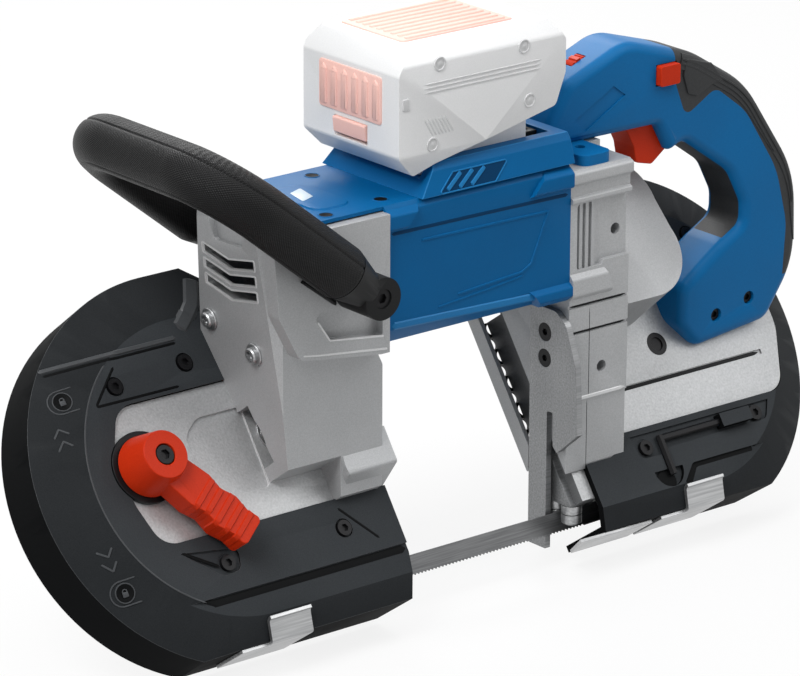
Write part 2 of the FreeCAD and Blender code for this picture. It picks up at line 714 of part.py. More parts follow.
def idler_frame():
    """Frame plate of the idler end, with the gibs that guide the tension slide."""
    body = plate("idler")
    gibs = []
    for side in (-1, 1):
        near = SLIDE_HALF_WIDTH + FACE_GAP
        b0, b1 = sorted((side * near, side * (near + GIB_WIDTH)))
        gibs.append(box(SLIDE_LEFT + 8, SLIDE_RIGHT, b0, b1, SLIDE_BACK + 1, PLATE_BACK))
    shaft = rod(CAM_SHAFT_RADIUS + RUNNING_FIT, V(LEVER_X, LEVER_B, 0), Z_AXIS, FAR)
    stud = rod(TRACK_STUD_RADIUS, V(TRACK_X, TRACK_B, 0), Z_AXIS, FAR)
    step = prism([(-15, 19, 10), (-4, 27, 10), (26, 27, 3), (26, -20, 3), (5, -20, 6), (-15, 0, 10)], "z",
                 PLATE_FRONT - PLATE_GROOVE_DEPTH, PLATE_FRONT + 1)
    body = joined([body] + gibs).cut([shaft, stud, step])
    return tilted(body.cut(screw_holes(IDLER_COVER_SCREWS, 0, FAR)))


def case_foot(gap, low, high):
    """Footprint of the gear case on the drive frame, drawn in the wheel plane."""
    reach = GEAR_CAVITY_RADIUS + DOME_WALL + DOME_DRAFT + gap
    near = DOME_RADIUS + DOME_DRAFT + gap
    left = COLUMN_RIGHT - 10
    link = [(left, DOME_B - near), (DOME_X, DOME_B - near), (DOME_X + near, DOME_B),
            (COUNTER_X + reach, MOTOR_B),
            (COUNTER_X, MOTOR_B + reach), (left, MOTOR_B + reach)]
    discs = [rod(reach, counter_axis(low), Z_AXIS, high - low), rod(near, V(DOME_X, DOME_B, low), Z_AXIS,
                                                                    high - low)]
    return joined([prism(link, "z", low, high)] + discs)


def drive_frame():
    """Frame plate of the drive end, bored for the axle and countershaft bearings."""
    body = plate("drive")
    rib = box(DRIVE_SIDE_END, DRIVE_SIDE_END + GUARD_RIB_WIDTH, GUARD_RIB_LOW, GUARD_STRIP_HIGH,
              GUARD_STRIP_THICKNESS, PLATE_BACK)
    foot = case_foot(0, PLATE_BACK, PLATE_FRONT)
    seat = rod(DRIVE_BEARING_RADIUS, drive_axis(0), Z_AXIS, PLATE_FRONT - 2)
    plug = rod(AXLE_RADIUS - 2, drive_axis(0), Z_AXIS, FAR)
    counter = rod(COUNTER_BEARING_RADIUS, counter_axis(0), Z_AXIS, FAR)
    groove = box(COLUMN_RIGHT, DRIVE_WINDOW_RIGHT - 18, DRIVE_GROOVE_B, DRIVE_GROOVE_B + PLATE_GROOVE_WIDTH,
                 PLATE_FRONT - PLATE_GROOVE_DEPTH, FAR)
    body = joined([body, rib, foot]).cut([seat, plug, counter, groove])
    return tilted(body.cut(screw_holes(DRIVE_COVER_SCREWS, 0, FAR)))


def frame_bridge():
    """Channel that joins the two frame plates and shields the blade's return run."""
    rim = IDLER_COVER_CEILING
    rail = BRIDGE_INNER + BRIDGE_RAIL
    section = [(BRIDGE_INNER, COVER_BACK), (BRIDGE_INNER, COVER_FRONT), (COVER_FLAT_RADIUS, COVER_FRONT),
               (rim, COVER_INNER), (rim, COVER_BACK), (rim - COVER_WALL, COVER_BACK),
               (rim - COVER_WALL, PLATE_BACK), (rail, PLATE_BACK), (rail - BRIDGE_RAIL / 3, COVER_BACK)]
    return tilted(prism(section, "x", IDLER_SIDE_END, DRIVE_SIDE_END))


def wheel(centre, front):
    """Cast wheel with rim, web, hub and round lightening holes."""
    low = -WHEEL_HALF_WIDTH
    width = 2 * WHEEL_HALF_WIDTH
    rim = ring(WHEEL_RADIUS, WHEEL_RADIUS - WHEEL_RIM, V(centre, 0, low), Z_AXIS, width)
    web = rod(WHEEL_RADIUS - WHEEL_RIM, V(centre, 0, -WHEEL_WEB / 2), Z_AXIS, WHEEL_WEB)
    hub = rod(HUB_RADIUS, V(centre, 0, low), Z_AXIS, front - low)
    holes = []
    for index in range(WHEEL_HOLES):
        angle = math.radians(90 + 360 * index / WHEEL_HOLES)
        place = V(centre + WHEEL_HOLE_CIRCLE * math.cos(angle), WHEEL_HOLE_CIRCLE * math.sin(angle), low)
        holes.append(rod(WHEEL_HOLE_RADIUS, place, Z_AXIS, width))
    return joined([rim, web, hub]).cut(holes)


def tyre(centre):
    """Rubber tyre on a wheel's rim."""
    place = V(centre, 0, -WHEEL_HALF_WIDTH)
    return tilted(ring(TYRE_RADIUS, WHEEL_RADIUS, place, Z_AXIS, 2 * WHEEL_HALF_WIDTH))


def idler_wheel():
    """Idler wheel, running on its axle."""
    body = wheel(0, SLIDE_BACK - FACE_GAP)
    return tilted(body.cut(rod(AXLE_RADIUS + RUNNING_FIT, V(0, 0, -FAR / 2), Z_AXIS, FAR)))


def drive_wheel():
    """Drive wheel, fixed on its axle."""
    body = wheel(AXLE_SPACING, GEAR_BACK)
    return tilted(body.cut(rod(AXLE_RADIUS, drive_axis(-FAR / 2), Z_AXIS, FAR)))


def axle(place, low, high, gap):
    """Axle with a wide head behind the wheel."""
    shaft = rod(AXLE_RADIUS, place(low - gap), Z_AXIS, high - low + gap)
    head = rod(AXLE_HEAD_RADIUS, place(low - gap - AXLE_HEAD_THICKNESS), Z_AXIS, AXLE_HEAD_THICKNESS)
    socket = prism(moved(hexagon(8.0), place(0).x, 0), "z", low - gap - AXLE_HEAD_THICKNESS - 1, low)
    return tilted(shaft.fuse(head).cut(socket).removeSplitter())


def drive_axle():
    """Axle of the drive wheel, from its head to the bearing in the frame."""
    return axle(drive_axis, -WHEEL_HALF_WIDTH, PLATE_FRONT - 3, 0)


def drive_gear():
    """Large spur gear on the drive axle."""
    corners = moved(gear_outline(GEAR_TEETH, SPUR_BACKLASH), AXLE_SPACING, 0, gear_phase())
    body = prism(corners, "z", GEAR_BACK, GEAR_BACK + GEAR_WIDTH)
    return tilted(body.cut(rod(AXLE_RADIUS, drive_axis(0), Z_AXIS, FAR)))


def mesh_angle():
    """Direction from the drive axle to the countershaft, in degrees."""
    return math.degrees(math.atan2(MOTOR_B, COUNTER_X - AXLE_SPACING))


def gear_phase():
    """Turn of the large gear that puts a tooth on the line of centres."""
    return mesh_angle() % (360 / GEAR_TEETH)


def pinion_phase():
    """Turn of the pinion that puts a gap on the line of centres."""
    return mesh_angle() + 180 + 180 / PINION_TEETH


def countershaft():
    """Shaft from the spur pinion up to the bevel gear."""
    corners = moved(gear_outline(PINION_TEETH, SPUR_BACKLASH), COUNTER_X, MOTOR_B, pinion_phase())
    pinion = prism(corners, "z", GEAR_BACK, GEAR_BACK + GEAR_WIDTH)
    top = MOTOR_A - BEVEL_PINION_RADIUS * (1 - BEVEL_FACE / math.hypot(CROWN_RADIUS, BEVEL_PINION_RADIUS)) - 2
    return tilted(joined([pinion, rod(COUNTERSHAFT_RADIUS, counter_axis(GEAR_BACK), Z_AXIS,
                                      top - GEAR_BACK)]))


def crown_gear():
    """Large bevel gear on the countershaft."""
    gear = bevel_gear(CROWN_TEETH, BEVEL_PINION_TEETH, 5.0, COUNTERSHAFT_RADIUS, 0.0)
    gear.translate(counter_axis(MOTOR_A))
    return tilted(gear)


def motor_shaft():
    """Motor shaft with the bevel pinion cut on its end."""
    pinion = bevel_gear(BEVEL_PINION_TEETH, CROWN_TEETH, 3.0, 0.0, 0.5)
    pinion.rotate(V(0, 0, 0), Y_AXIS, 90)
    pinion.rotate(V(0, 0, 0), X_AXIS, WHEEL_TILT)
    pinion.translate(motor_axis(COUNTER_X))
    start = BODY_LEFT + 1
    shaft = rod(SHAFT_RADIUS, motor_axis(start), X_AXIS, COUNTER_X - CROWN_RADIUS - start)
    return upright(joined([shaft, pinion]))


def rotor_core():
    """Magnet rotor pressed on the motor shaft."""
    start = motor_axis(STATOR_LEFT)
    return upright(ring(ROTOR_RADIUS, SHAFT_RADIUS, start, X_AXIS, STATOR_LENGTH))


def stator():
    """Wound stator in the motor housing, with six inward teeth."""
    start = motor_axis(STATOR_LEFT)
    body = ring(STATOR_RADIUS, STATOR_BORE, start, X_AXIS, STATOR_LENGTH)
    slots = []
    for index in range(6):
        slot = box(start.x - 1, start.x + STATOR_LENGTH + 1, -2.5, 2.5, STATOR_BORE - 2, STATOR_RADIUS - 4)
        slot.rotate(V(0, 0, 0), X_AXIS, 60 * index)
        slot.translate(V(0, BODY_MID_Y, MOTOR_Z))
        slots.append(slot)
    return upright(body.cut(slots))


def cooling_fan():
    """Radial fan on the motor shaft."""
    x0 = FAN_LEFT
    hub = ring(SHAFT_RADIUS + 4, SHAFT_RADIUS, motor_axis(x0), X_AXIS, FAN_WIDTH)
    disc = ring(FAN_RADIUS, SHAFT_RADIUS, motor_axis(x0 + FAN_WIDTH - 2), X_AXIS, 2)
    blades = []
    for index in range(FAN_BLADES):
        blade = box(x0, x0 + FAN_WIDTH - 1, -0.8, 0.8, SHAFT_RADIUS + 3, FAN_RADIUS)
        blade.rotate(V(0, 0, 0), X_AXIS, 360 * index / FAN_BLADES)
        blade.translate(V(0, BODY_MID_Y, MOTOR_Z))
        blades.append(blade)
    return upright(joined([hub, disc] + blades))


def ball_bearings():
    """Bearings of the motor shaft, countershaft and drive axle, as plain rings."""
    width = MOTOR_BEARING_WIDTH
    pieces = []
    for x in (BODY_LEFT, COLUMN_LEFT):
        inner = SHAFT_RADIUS + RUNNING_FIT
        pieces.append(upright(ring(MOTOR_BEARING_RADIUS, inner, motor_axis(x), X_AXIS, width)))
    for a in (PLATE_BACK, PLATE_FRONT + 12):
        inner = COUNTERSHAFT_RADIUS + RUNNING_FIT
        pieces.append(tilted(ring(COUNTER_BEARING_RADIUS, inner, counter_axis(a), Z_AXIS,
                                  COUNTER_BEARING_WIDTH)))
    inner = AXLE_RADIUS + RUNNING_FIT
    depth = PLATE_FRONT - 2 - PLATE_BACK
    pieces.append(tilted(ring(DRIVE_BEARING_RADIUS, inner, drive_axis(PLATE_BACK), Z_AXIS, depth)))
    return Part.makeCompound(pieces)


def axle_plug():
    """Cap that closes the drive axle's bore in the frame plate."""
    body = rod(AXLE_RADIUS - 2, drive_axis(PLATE_FRONT - 2), Z_AXIS, 2)
    socket = rod(AXLE_RADIUS - 5, drive_axis(PLATE_FRONT - 1), Z_AXIS, 2)
    return tilted(body.cut(socket))


def twist_section(x, share):
    """Blade section at x on the cutting side, a share of the way from tilted to upright."""
    eased = share * share * (3 - 2 * share)
    angle = math.radians(WHEEL_TILT) * (1 - eased)
    across = V(0, -math.sin(angle), math.cos(angle))
    through = V(0, math.cos(angle), math.sin(angle))
    centre = V(x, CUT_Y, CUT_Z)
    half_w = BLADE_WIDTH / 2
    half_t = BLADE_THICKNESS / 2
    points = []
    for side, face in ((-1, -1), (1, -1), (1, 1), (-1, 1)):
        points.append(centre + across * (side * half_w) + through * (face * half_t))
    return Part.makePolygon(points + points[:1])


def blade():
    """Blade loop: two half turns, the return run, and the twisted cutting run with teeth."""
    half_t = BLADE_THICKNESS / 2
    low = -BLADE_WIDTH / 2
    outer = BLADE_RADIUS + half_t
    inner = BLADE_RADIUS - half_t
    turns = []
    for centre, keep in ((0, box(-FAR, 0, -FAR, FAR, -FAR, FAR)),
                         (AXLE_SPACING, box(AXLE_SPACING, FAR, -FAR, FAR, -FAR, FAR))):
        turns.append(ring(outer, inner, V(centre, 0, low), Z_AXIS, BLADE_WIDTH).common(keep))
    twist_in = SLIDE_TRAVEL + TWIST_RUN_IN
    twist_out = AXLE_SPACING - TWIST_RUN_IN
    straights = [box(0, AXLE_SPACING, inner, outer, low, -low), box(0, twist_in, -outer, -inner, low, -low),
                 box(twist_out, AXLE_SPACING, -outer, -inner, low, -low)]
    runs = [tilted(shape) for shape in turns + straights]
    first = guide_x("idler") - GUIDE_BLOCK_LENGTH / 2
    last = guide_x("drive") + GUIDE_BLOCK_LENGTH / 2
    steps = [0, 0.2, 0.4, 0.6, 0.8, 1]
    left = Part.makeLoft([twist_section(twist_in + (first - twist_in) * s, s) for s in steps], True, True)
    right = Part.makeLoft([twist_section(twist_out + (last - twist_out) * s, s) for s in steps], True, True)
    teeth = int((last - first) / TOOTH_PITCH)
    bottom = CUT_Z + low
    top = CUT_Z - low
    start = (first + last - teeth * TOOTH_PITCH) / 2
    edge = [(first, top), (first, bottom), (start, bottom)]
    for index in range(teeth):
        x = start + index * TOOTH_PITCH
        edge.append((x + 0.25 * TOOTH_PITCH, bottom + TOOTH_DEPTH))
        edge.append((x + TOOTH_PITCH, bottom))
    edge += [(last, bottom), (last, top)]
    tidy = [p for k, p in enumerate(edge) if k == 0 or p != edge[k - 1]]
    middle = prism(tidy, "y", CUT_Y - half_t, CUT_Y + half_t)
    return joined(runs + [upright(left), upright(right), upright(middle)])


def guide_x(side):
    """Middle of a blade guide along the blade."""
    inset = GUIDE_BLOCK_LENGTH / 2 + 2
    return IDLER_SIDE_END - inset if side == "idler" else COLUMN_LEFT + inset


def side_roller_y(face):
    """Axis of a side roller in front of (-1) or behind (1) the blade."""
    return CUT_Y + face * (BLADE_THICKNESS / 2 + ROLLER_GAP + ROLLER_RADIUS)


def thrust_z():
    """Height of the thrust roller's axis above the blade's back edge."""
    return CUT_Z + BLADE_WIDTH / 2 + ROLLER_GAP + ROLLER_RADIUS


def thrust_x(side):
    """The thrust roller's place along the blade, beside the side rollers."""
    shift = GUIDE_BLOCK_LENGTH / 2 - 1
    return guide_x(side) + (-shift if side == "idler" else shift) * 0.62


def side_x(side):
    """The side rollers' place along the blade, on the throat side of the guide."""
    shift = GUIDE_BLOCK_LENGTH / 2 - ROLLER_RADIUS
    return guide_x(side) + (shift if side == "idler" else -shift)


def roller_low():
    """Underside of the side rollers."""
    return GUIDE_BLOCK_Z - FACE_GAP - 2 * ROLLER_WIDTH - 0.6


def side_rollers(side, face):
    """Two ball races on one pin beside the blade."""
    place = V(side_x(side), side_roller_y(face), roller_low())
    lower = rod(ROLLER_RADIUS, place, Z_AXIS, ROLLER_WIDTH)
    waist = rod(ROLLER_RADIUS - 1.2, place, Z_AXIS, 2 * ROLLER_WIDTH + 0.6)
    upper = rod(ROLLER_RADIUS, place + Z_AXIS * (ROLLER_WIDTH + 0.6), Z_AXIS, ROLLER_WIDTH)
    bore = rod(ROLLER_PIN_RADIUS + RUNNING_FIT, place - Z_AXIS, Z_AXIS, FAR)
    return upright(joined([lower, waist, upper]).cut(bore))


def thrust_roller(side):
    """Ball race that backs the blade's plain edge."""
    half = ROLLER_WIDTH / 2
    place = V(thrust_x(side), CUT_Y - half, thrust_z())
    return upright(ring(ROLLER_RADIUS, ROLLER_PIN_RADIUS + RUNNING_FIT, place, Y_AXIS, ROLLER_WIDTH))


def guide_bracket(side):
    """Block under the frame plate with the guide's pins."""
    middle = guide_x(side)
    half = GUIDE_BLOCK_LENGTH / 2
    body = box(middle - half, middle + half, GUIDE_BLOCK_FRONT_Y, GUIDE_BLOCK_BACK_Y, GUIDE_BLOCK_Z,
               BODY_BOTTOM)
    pocket_half = ROLLER_WIDTH / 2 + FACE_GAP
    reach = ROLLER_RADIUS + 1.0
    place = V(thrust_x(side), CUT_Y - pocket_half, thrust_z())
    pocket = rod(reach, place, Y_AXIS, 2 * pocket_half)
    mouth = box(place.x - reach, place.x + reach, place.y, place.y + 2 * pocket_half, CUT_Z, place.z)
    solid = upright(body.cut([pocket, mouth]))
    above = tilted(box(-FAR, FAR, -FAR, FAR, PLATE_BACK, FAR))
    return joined([solid] + guide_pins(side)).cut(above)


def guide_pins(side):
    """Pins of the side rollers and of the thrust roller of one guide."""
    pins = []
    for face in (-1, 1):
        low = roller_low() - 0.3
        place = V(side_x(side), side_roller_y(face), low)
        body = rod(ROLLER_PIN_RADIUS, place, Z_AXIS, GUIDE_BLOCK_Z + 8 - low)
        head = rod(ROLLER_RADIUS - 2, place - Z_AXIS, Z_AXIS, 1)
        pins.append(upright(body.fuse(head)))
    place = V(thrust_x(side), GUIDE_BLOCK_FRONT_Y + 2, thrust_z())
    pins.append(upright(rod(ROLLER_PIN_RADIUS, place, Y_AXIS, GUIDE_BLOCK_BACK_Y - place.y)))
    return pins


def work_rest():
    """Steel plate that the work is held against, slotted for the blade."""
    corners = [(REST_BACK_Y, REST_BOTTOM), (REST_BACK_Y, REST_TOP, 4), (CUT_Y - 4.1, REST_TOP, 6),
               (CUT_Y - 13.1, REST_TOP - 6, 8), (CUT_Y - 22.1, REST_TOP - 30, 10), (REST_FRONT_Y, -5),
               (CUT_Y - 6.6, -20), (REST_SLOT_FRONT_Y, -17), (REST_SLOT_FRONT_Y, REST_SLOT_TOP, 1.5), (REST_SLOT_BACK_Y, REST_SLOT_TOP, 1.5),
               (REST_SLOT_BACK_Y, REST_BOTTOM)]
    body = prism(corners, "x", REST_X, REST_X + REST_THICKNESS)
    for z in REST_SCREW_Z:
        sink = Part.makeCone(REST_SCREW_HEAD, REST_SCREW_SHANK, 3, V(REST_X, REST_SCREW_Y, z), X_AXIS)
        body = body.cut([sink, rod(REST_SCREW_SHANK, V(REST_X, REST_SCREW_Y, z), X_AXIS, FAR)])
    return upright(body)


def work_rest_screws():
    """Countersunk screws of the work rest, flush with its face."""
    pieces = []
    for z in REST_SCREW_Z:
        head = Part.makeCone(REST_SCREW_HEAD, REST_SCREW_SHANK, 3, V(REST_X, REST_SCREW_Y, z), X_AXIS)
        shank = rod(REST_SCREW_SHANK, V(REST_X + 3, REST_SCREW_Y, z), X_AXIS, 12)
        socket = prism(moved(hexagon(3.5), REST_SCREW_Y, z), "x", REST_X - 1, REST_X + 2)
        pieces.append(upright(head.fuse(shank).cut(socket).removeSplitter()))
    return Part.makeCompound(pieces)


def throat_bar():
    """Edge bar of the drive end, along the throat from the bridge to the guide."""
    body = box(REST_X, REST_X + THROAT_BAR_THICKNESS, THROAT_BAR_LOW, BRIDGE_INNER, 0, THROAT_BAR_HEIGHT)
    behind_rest = box(-FAR, FAR, REST_BACK_Y + FACE_GAP, FAR, -FAR, FAR)
    return tilted(body).common(upright(behind_rest))


def throat_guard():
    """Perforated strip between the throat bar and the drive frame."""
    left = REST_X + THROAT_BAR_THICKNESS
    low = GUARD_STRIP_LOW
    high = GUARD_STRIP_HIGH
    body = box(left, left + GUARD_STRIP_WIDTH, low, high, 0, GUARD_STRIP_THICKNESS)
    pitch = (high - low) / GUARD_HOLES
    holes = []
    for index in range(GUARD_HOLES):
        x = left + GUARD_STRIP_WIDTH * (0.36 if index % 2 else 0.56)
        holes.append(rod(GUARD_HOLE_RADIUS, V(x, low + pitch * (index + 0.5), -1), Z_AXIS, FAR))
    return tilted(body.cut(holes))


def guard_plate():
    """Steel plate under the drive cover's throat end."""
    right = DRIVE_HOOK_X - HOOK_BASE - GUARD_HOOK_GAP
    corners = [(GUARD_PLATE_LEFT, 24), (right, 20), (right, -6),
               (GUARD_PLATE_LEFT + 14, -6)]
    body = prism(corners, "y", DRIVE_COVER_FLOOR - GUARD_PLATE_THICKNESS, DRIVE_COVER_FLOOR)
    return tilted(body)


def cover_slope(radius, b):
    """Height a of a cover's sloped rim at a distance b from its axle line."""
    fall = (COVER_FRONT - COVER_SHOULDER) / (radius - COVER_FLAT_RADIUS)
    return COVER_FRONT - fall * max(0, abs(b) - COVER_FLAT_RADIUS)


def hook_feet():
    """Two bent steel hooks under the covers, each with a lip that turns out."""
    pieces = []
    t = HOOK_THICKNESS
    sides = ((IDLER_HOOK_X, IDLER_COVER_FLOOR, IDLER_COVER_RADIUS),
             (DRIVE_HOOK_X, DRIVE_COVER_FLOOR, DRIVE_COVER_RADIUS))
    for x, floor, radius in sides:
        top = floor + HOOK_RISE
        low_a = cover_slope(radius, floor) + HOOK_GAP
        high_a = cover_slope(radius, top) + HOOK_GAP
        lip = high_a + HOOK_LIP
        shape = [(floor, COVER_BACK / 2), (floor, low_a), (top, high_a, HOOK_BEND + t), (top, lip),
                 (top - t, lip),
                 (top - t, high_a + t, HOOK_BEND), (floor - t, low_a + t, t), (floor - t, COVER_BACK / 2)]
        base = box(x - HOOK_BASE, x + HOOK_WIDTH, floor - t, floor, COVER_BACK / 2, low_a - t)
        pieces.append(tilted(joined([prism(shape, "x", x, x + HOOK_WIDTH), base])))
    return Part.makeCompound(pieces)


def tension_slide():
    """Sliding plate with the idler axle pressed into it and the slot for the cam."""
    body = box(SLIDE_LEFT, SLIDE_RIGHT, -SLIDE_HALF_WIDTH, SLIDE_HALF_WIDTH, SLIDE_BACK, SLIDE_FRONT)
    reach = CAM_RADIUS + CAM_SLACK
    middle = LEVER_X - CAM_OFFSET
    half = CAM_RADIUS + CAM_OFFSET + 1
    slot = box(middle - reach, middle + reach, LEVER_B - half, LEVER_B + half, 0, FAR)
    pin = axle(lambda a: V(0, 0, a), -WHEEL_HALF_WIDTH, SLIDE_BACK, FACE_GAP)
    return joined([tilted(body.cut(slot)), pin])


def tension_cam():
    """Eccentric on the lever's shaft, inside the slide's slot."""
    shaft = rod(CAM_SHAFT_RADIUS, V(LEVER_X, LEVER_B, SLIDE_FRONT), Z_AXIS, LEVER_ARM_BACK - SLIDE_FRONT)
    disc = rod(CAM_RADIUS, V(LEVER_X - CAM_OFFSET, LEVER_B, SLIDE_BACK), Z_AXIS, SLIDE_THICKNESS)
    return tilted(shaft.fuse(disc).removeSplitter())


def lever_seat():
    """Ring between the lever and the frame plate."""
    place = V(LEVER_X, LEVER_B, PLATE_FRONT)
    return tilted(ring(LEVER_SEAT_RADIUS, CAM_SHAFT_RADIUS + RUNNING_FIT, place, Z_AXIS,
                       LEVER_SEAT_THICKNESS))


def tension_lever():
    """Cam lever with a tapered hub and a waved grip."""
    base = PLATE_FRONT + LEVER_SEAT_THICKNESS + FACE_GAP
    place = V(0, 0, base)
    hub = Part.makeCone(LEVER_HUB_RADIUS, LEVER_HUB_RADIUS - 4, LEVER_HUB_TOP - base, place, Z_AXIS)
    half = LEVER_ARM_WIDTH / 2
    pitch = (LEVER_LENGTH - 28) / LEVER_RIDGES
    upper = [(28 + pitch * k, half - (2.2 if k % 2 else 0), 2) for k in range(LEVER_RIDGES)]
    lower = [(28 + pitch * k, -half + (2.2 if k % 2 else 0), 2) for k in range(LEVER_RIDGES)]
    corners = [(0, -half + 2)] + lower + [(LEVER_LENGTH, -half + 1, 3), (LEVER_LENGTH, half - 1, 3)]
    corners += upper[::-1] + [(0, half - 2)]
    arm = prism(corners, "z", LEVER_ARM_BACK, LEVER_ARM_FRONT)
    body = joined([hub, arm])
    bore = rod(CAM_SHAFT_RADIUS, V(0, 0, 0), Z_AXIS, LEVER_ARM_BACK)
    screw = rod(3.1, V(0, 0, 0), Z_AXIS, FAR)
    sink = rod(6.0, V(0, 0, LEVER_HUB_TOP - 4), Z_AXIS, FAR)
    body = body.cut([bore, screw, sink])
    body.rotate(V(0, 0, 0), Z_AXIS, LEVER_ANGLE)
    body.translate(V(LEVER_X, LEVER_B, 0))
    return tilted(body)


def lever_screw():
    """Socket screw that holds the lever on the cam shaft."""
    place = V(LEVER_X, LEVER_B, LEVER_ARM_BACK)
    shank = rod(3.0, place, Z_AXIS, LEVER_HUB_TOP - 4 - LEVER_ARM_BACK)
    head = rod(5.4, V(LEVER_X, LEVER_B, LEVER_HUB_TOP - 4), Z_AXIS, 3.4)
    socket = prism(moved(hexagon(5.0), LEVER_X, LEVER_B), "z", LEVER_HUB_TOP - 2.6, LEVER_HUB_TOP)
    return tilted(shank.fuse(head).cut(socket).removeSplitter())


def tracking_nut():
    """Slotted stud and lock nut of the blade tracking adjuster."""
    seat = PLATE_FRONT
    low = SLIDE_FRONT + FACE_GAP
    stud = rod(TRACK_STUD_RADIUS, V(TRACK_X, TRACK_B, low), Z_AXIS, seat + TRACK_STUD_LENGTH - low)
    nut = prism(moved(hexagon(TRACK_NUT_FLATS), TRACK_X, TRACK_B), "z", seat + 1.5,
                seat + 1.5 + TRACK_NUT_HEIGHT)
    washer = rod(TRACK_NUT_FLATS * 0.66, V(TRACK_X, TRACK_B, seat), Z_AXIS, 1.5)
    top = seat + TRACK_STUD_LENGTH
    slot = box(TRACK_X - 10, TRACK_X + 10, TRACK_B - 0.8, TRACK_B + 0.8, top - 2, top + 1)
    return tilted(joined([stud, nut, washer]).cut(slot))


def front_casting(cover):
    """Casting above the idler end: vents, wrench recess and the front handle's seats."""
    back = BODY_MID_Y + CASTING_HALF_DEPTH
    front = BODY_MID_Y - CASTING_HALF_DEPTH
    low = CUT_Z + 5.5
    side = [(CASTING_LEFT, DECK_Z - DECK_PLATE, 5), (BODY_LEFT, DECK_Z - DECK_PLATE), (BODY_LEFT, 66),
            (BODY_LEFT + 3, 60, 4),
            (BODY_LEFT + 3, low), (CASTING_FOOT_LEFT, low)]
    tower = prism(side, "y", front, back)
    corner = [(CASTING_LEFT - 30, front - 1), (CASTING_LEFT + 12, front - 1), (CASTING_LEFT - 30, front + 40)]
    bevel = prism(corner, "z", low, DECK_Z)
    tower = tower.cut([bevel, mirrored_y(bevel)])
    pad = [(CASTING_LEFT - 3, DECK_Z - 3, 3), (BODY_LEFT, DECK_Z - 3), (BODY_LEFT, BODY_BOTTOM - 1),
           (BODY_LEFT - 6, BODY_BOTTOM - 1),
           (CASTING_LEFT + 15, BODY_BOTTOM + 7, 8), (CASTING_LEFT + 1, DECK_Z - 47, 8)]
    far_pad = [(BACK_PAD_LEFT, DECK_Z - 3, 3), (BODY_LEFT, DECK_Z - 3), (BODY_LEFT, BODY_BOTTOM),
               (BACK_PAD_LEFT, BODY_BOTTOM + 8, 8)]
    panel = [(CASTING_LEFT + 36, BODY_BOTTOM + 14, 4), (BODY_LEFT - 5, BODY_BOTTOM + 9, 2),
             (BODY_LEFT - 5, BODY_BOTTOM + 32, 2),
             (CASTING_LEFT + 22, BODY_BOTTOM + 32, 4)]
    near_pad = prism(pad, "y", BODY_FRONT, front).cut(prism(panel, "y", BODY_FRONT - 1,
                                                            BODY_FRONT + PAD_PANEL_DEPTH))
    pads = [near_pad, prism(far_pad, "y", back, BODY_BACK)]
    chamber = box(CASTING_LEFT + 16, BODY_LEFT + 4, front + CASTING_WALL, back - CASTING_WALL, 84, DECK_Z - 8)
    chamber = chamber.fuse(box(CASTING_LEFT + 6, CASTING_LEFT + 20, BODY_MID_Y - 20, BODY_MID_Y + 20, 104,
                               DECK_Z - 8))
    body = joined([tower] + pads).cut(chamber)
    vents = []
    for index in range(VENT_COUNT):
        z = VENT_TOP_Z - VENT_PITCH * index
        h = VENT_HEIGHT / 2
        y0 = BODY_MID_Y + VENT_HALF_WIDTH
        y1 = BODY_MID_Y - VENT_HALF_WIDTH
        shape = [(y0, z + h), (BODY_MID_Y, z + h - VENT_DIP), (y1, z + h), (y1, z - h),
                 (BODY_MID_Y, z - h - VENT_DIP), (y0, z - h)]
        vents.append(prism(shape, "x", CASTING_LEFT - 5, CASTING_LEFT + 30))
    shield = [(BODY_MID_Y + 18, DECK_Z), (BODY_MID_Y - 18, DECK_Z), (BODY_MID_Y - 13, 136, 3),
              (BODY_MID_Y + 11, 135, 3)]
    pocket = prism(shield, "x", CASTING_LEFT - 5, CASTING_LEFT + 4)
    body = upright(body.cut(vents + [pocket]))
    arch = rod(ARCH_RADIUS, V(TRACK_X, TRACK_B, 0), Z_AXIS, ARCH_TOP - 8)
    arch = arch.fuse(Part.makeCone(ARCH_RADIUS, ARCH_RADIUS - 9, 8, V(TRACK_X, TRACK_B, ARCH_TOP - 8),
                                   Z_AXIS))
    mouth = box(-FAR, TRACK_X, TRACK_B - ARCH_RADIUS, TRACK_B + ARCH_RADIUS - 4, 0, ARCH_TOP - 8)
    left_floor = box(-FAR, 62, -FAR, -18, -FAR, FAR)
    lug_floor = box(-FAR, FAR, -FAR, IDLER_WINDOW_BOTTOM - 1, -FAR, FAR)
    cuts = [tilted(shape) for shape in (arch, mouth, left_floor, lug_floor)]
    body = joined([body.cut(cuts), tilted(casting_lug())])
    return body.cut(behind_plane(PLATE_FRONT)).cut(cover)


def casting_lug():
    """Drafted block on the frame plate at the throat, drawn in the wheel plane."""
    right = IDLER_SIDE_END
    left = right - LUG_LENGTH
    low = IDLER_WINDOW_BOTTOM
    section = [(low, PLATE_FRONT - 1), (low, PLATE_FRONT), (low + 7.5, LUG_TOP, 2), (LUG_BACK, LUG_TOP),
               (LUG_BACK, PLATE_FRONT - 1)]
    plan = [(left, low, LUG_ROUND), (right, low), (right, LUG_BACK), (left + 3, LUG_BACK)]
    return prism(section, "x", left, right).common(prism(plan, "z", 0, FAR))


def motor_housing(side):
    """One half of the motor housing, split at the body's middle plane."""
    body = housing_half().cut(housing_chambers())
    if side == "back":
        body = mirrored_y(body)
    bore = rod(STATOR_RADIUS, motor_axis(BODY_LEFT + MOTOR_WALL), X_AXIS,
               BODY_RIGHT - BODY_LEFT - 2 * MOTOR_WALL + 2)
    shaft = rod(MOTOR_BEARING_RADIUS, motor_axis(0), X_AXIS, FAR)
    return upright(body.cut([bore, shaft])).cut(behind_plane(COVER_FRONT))


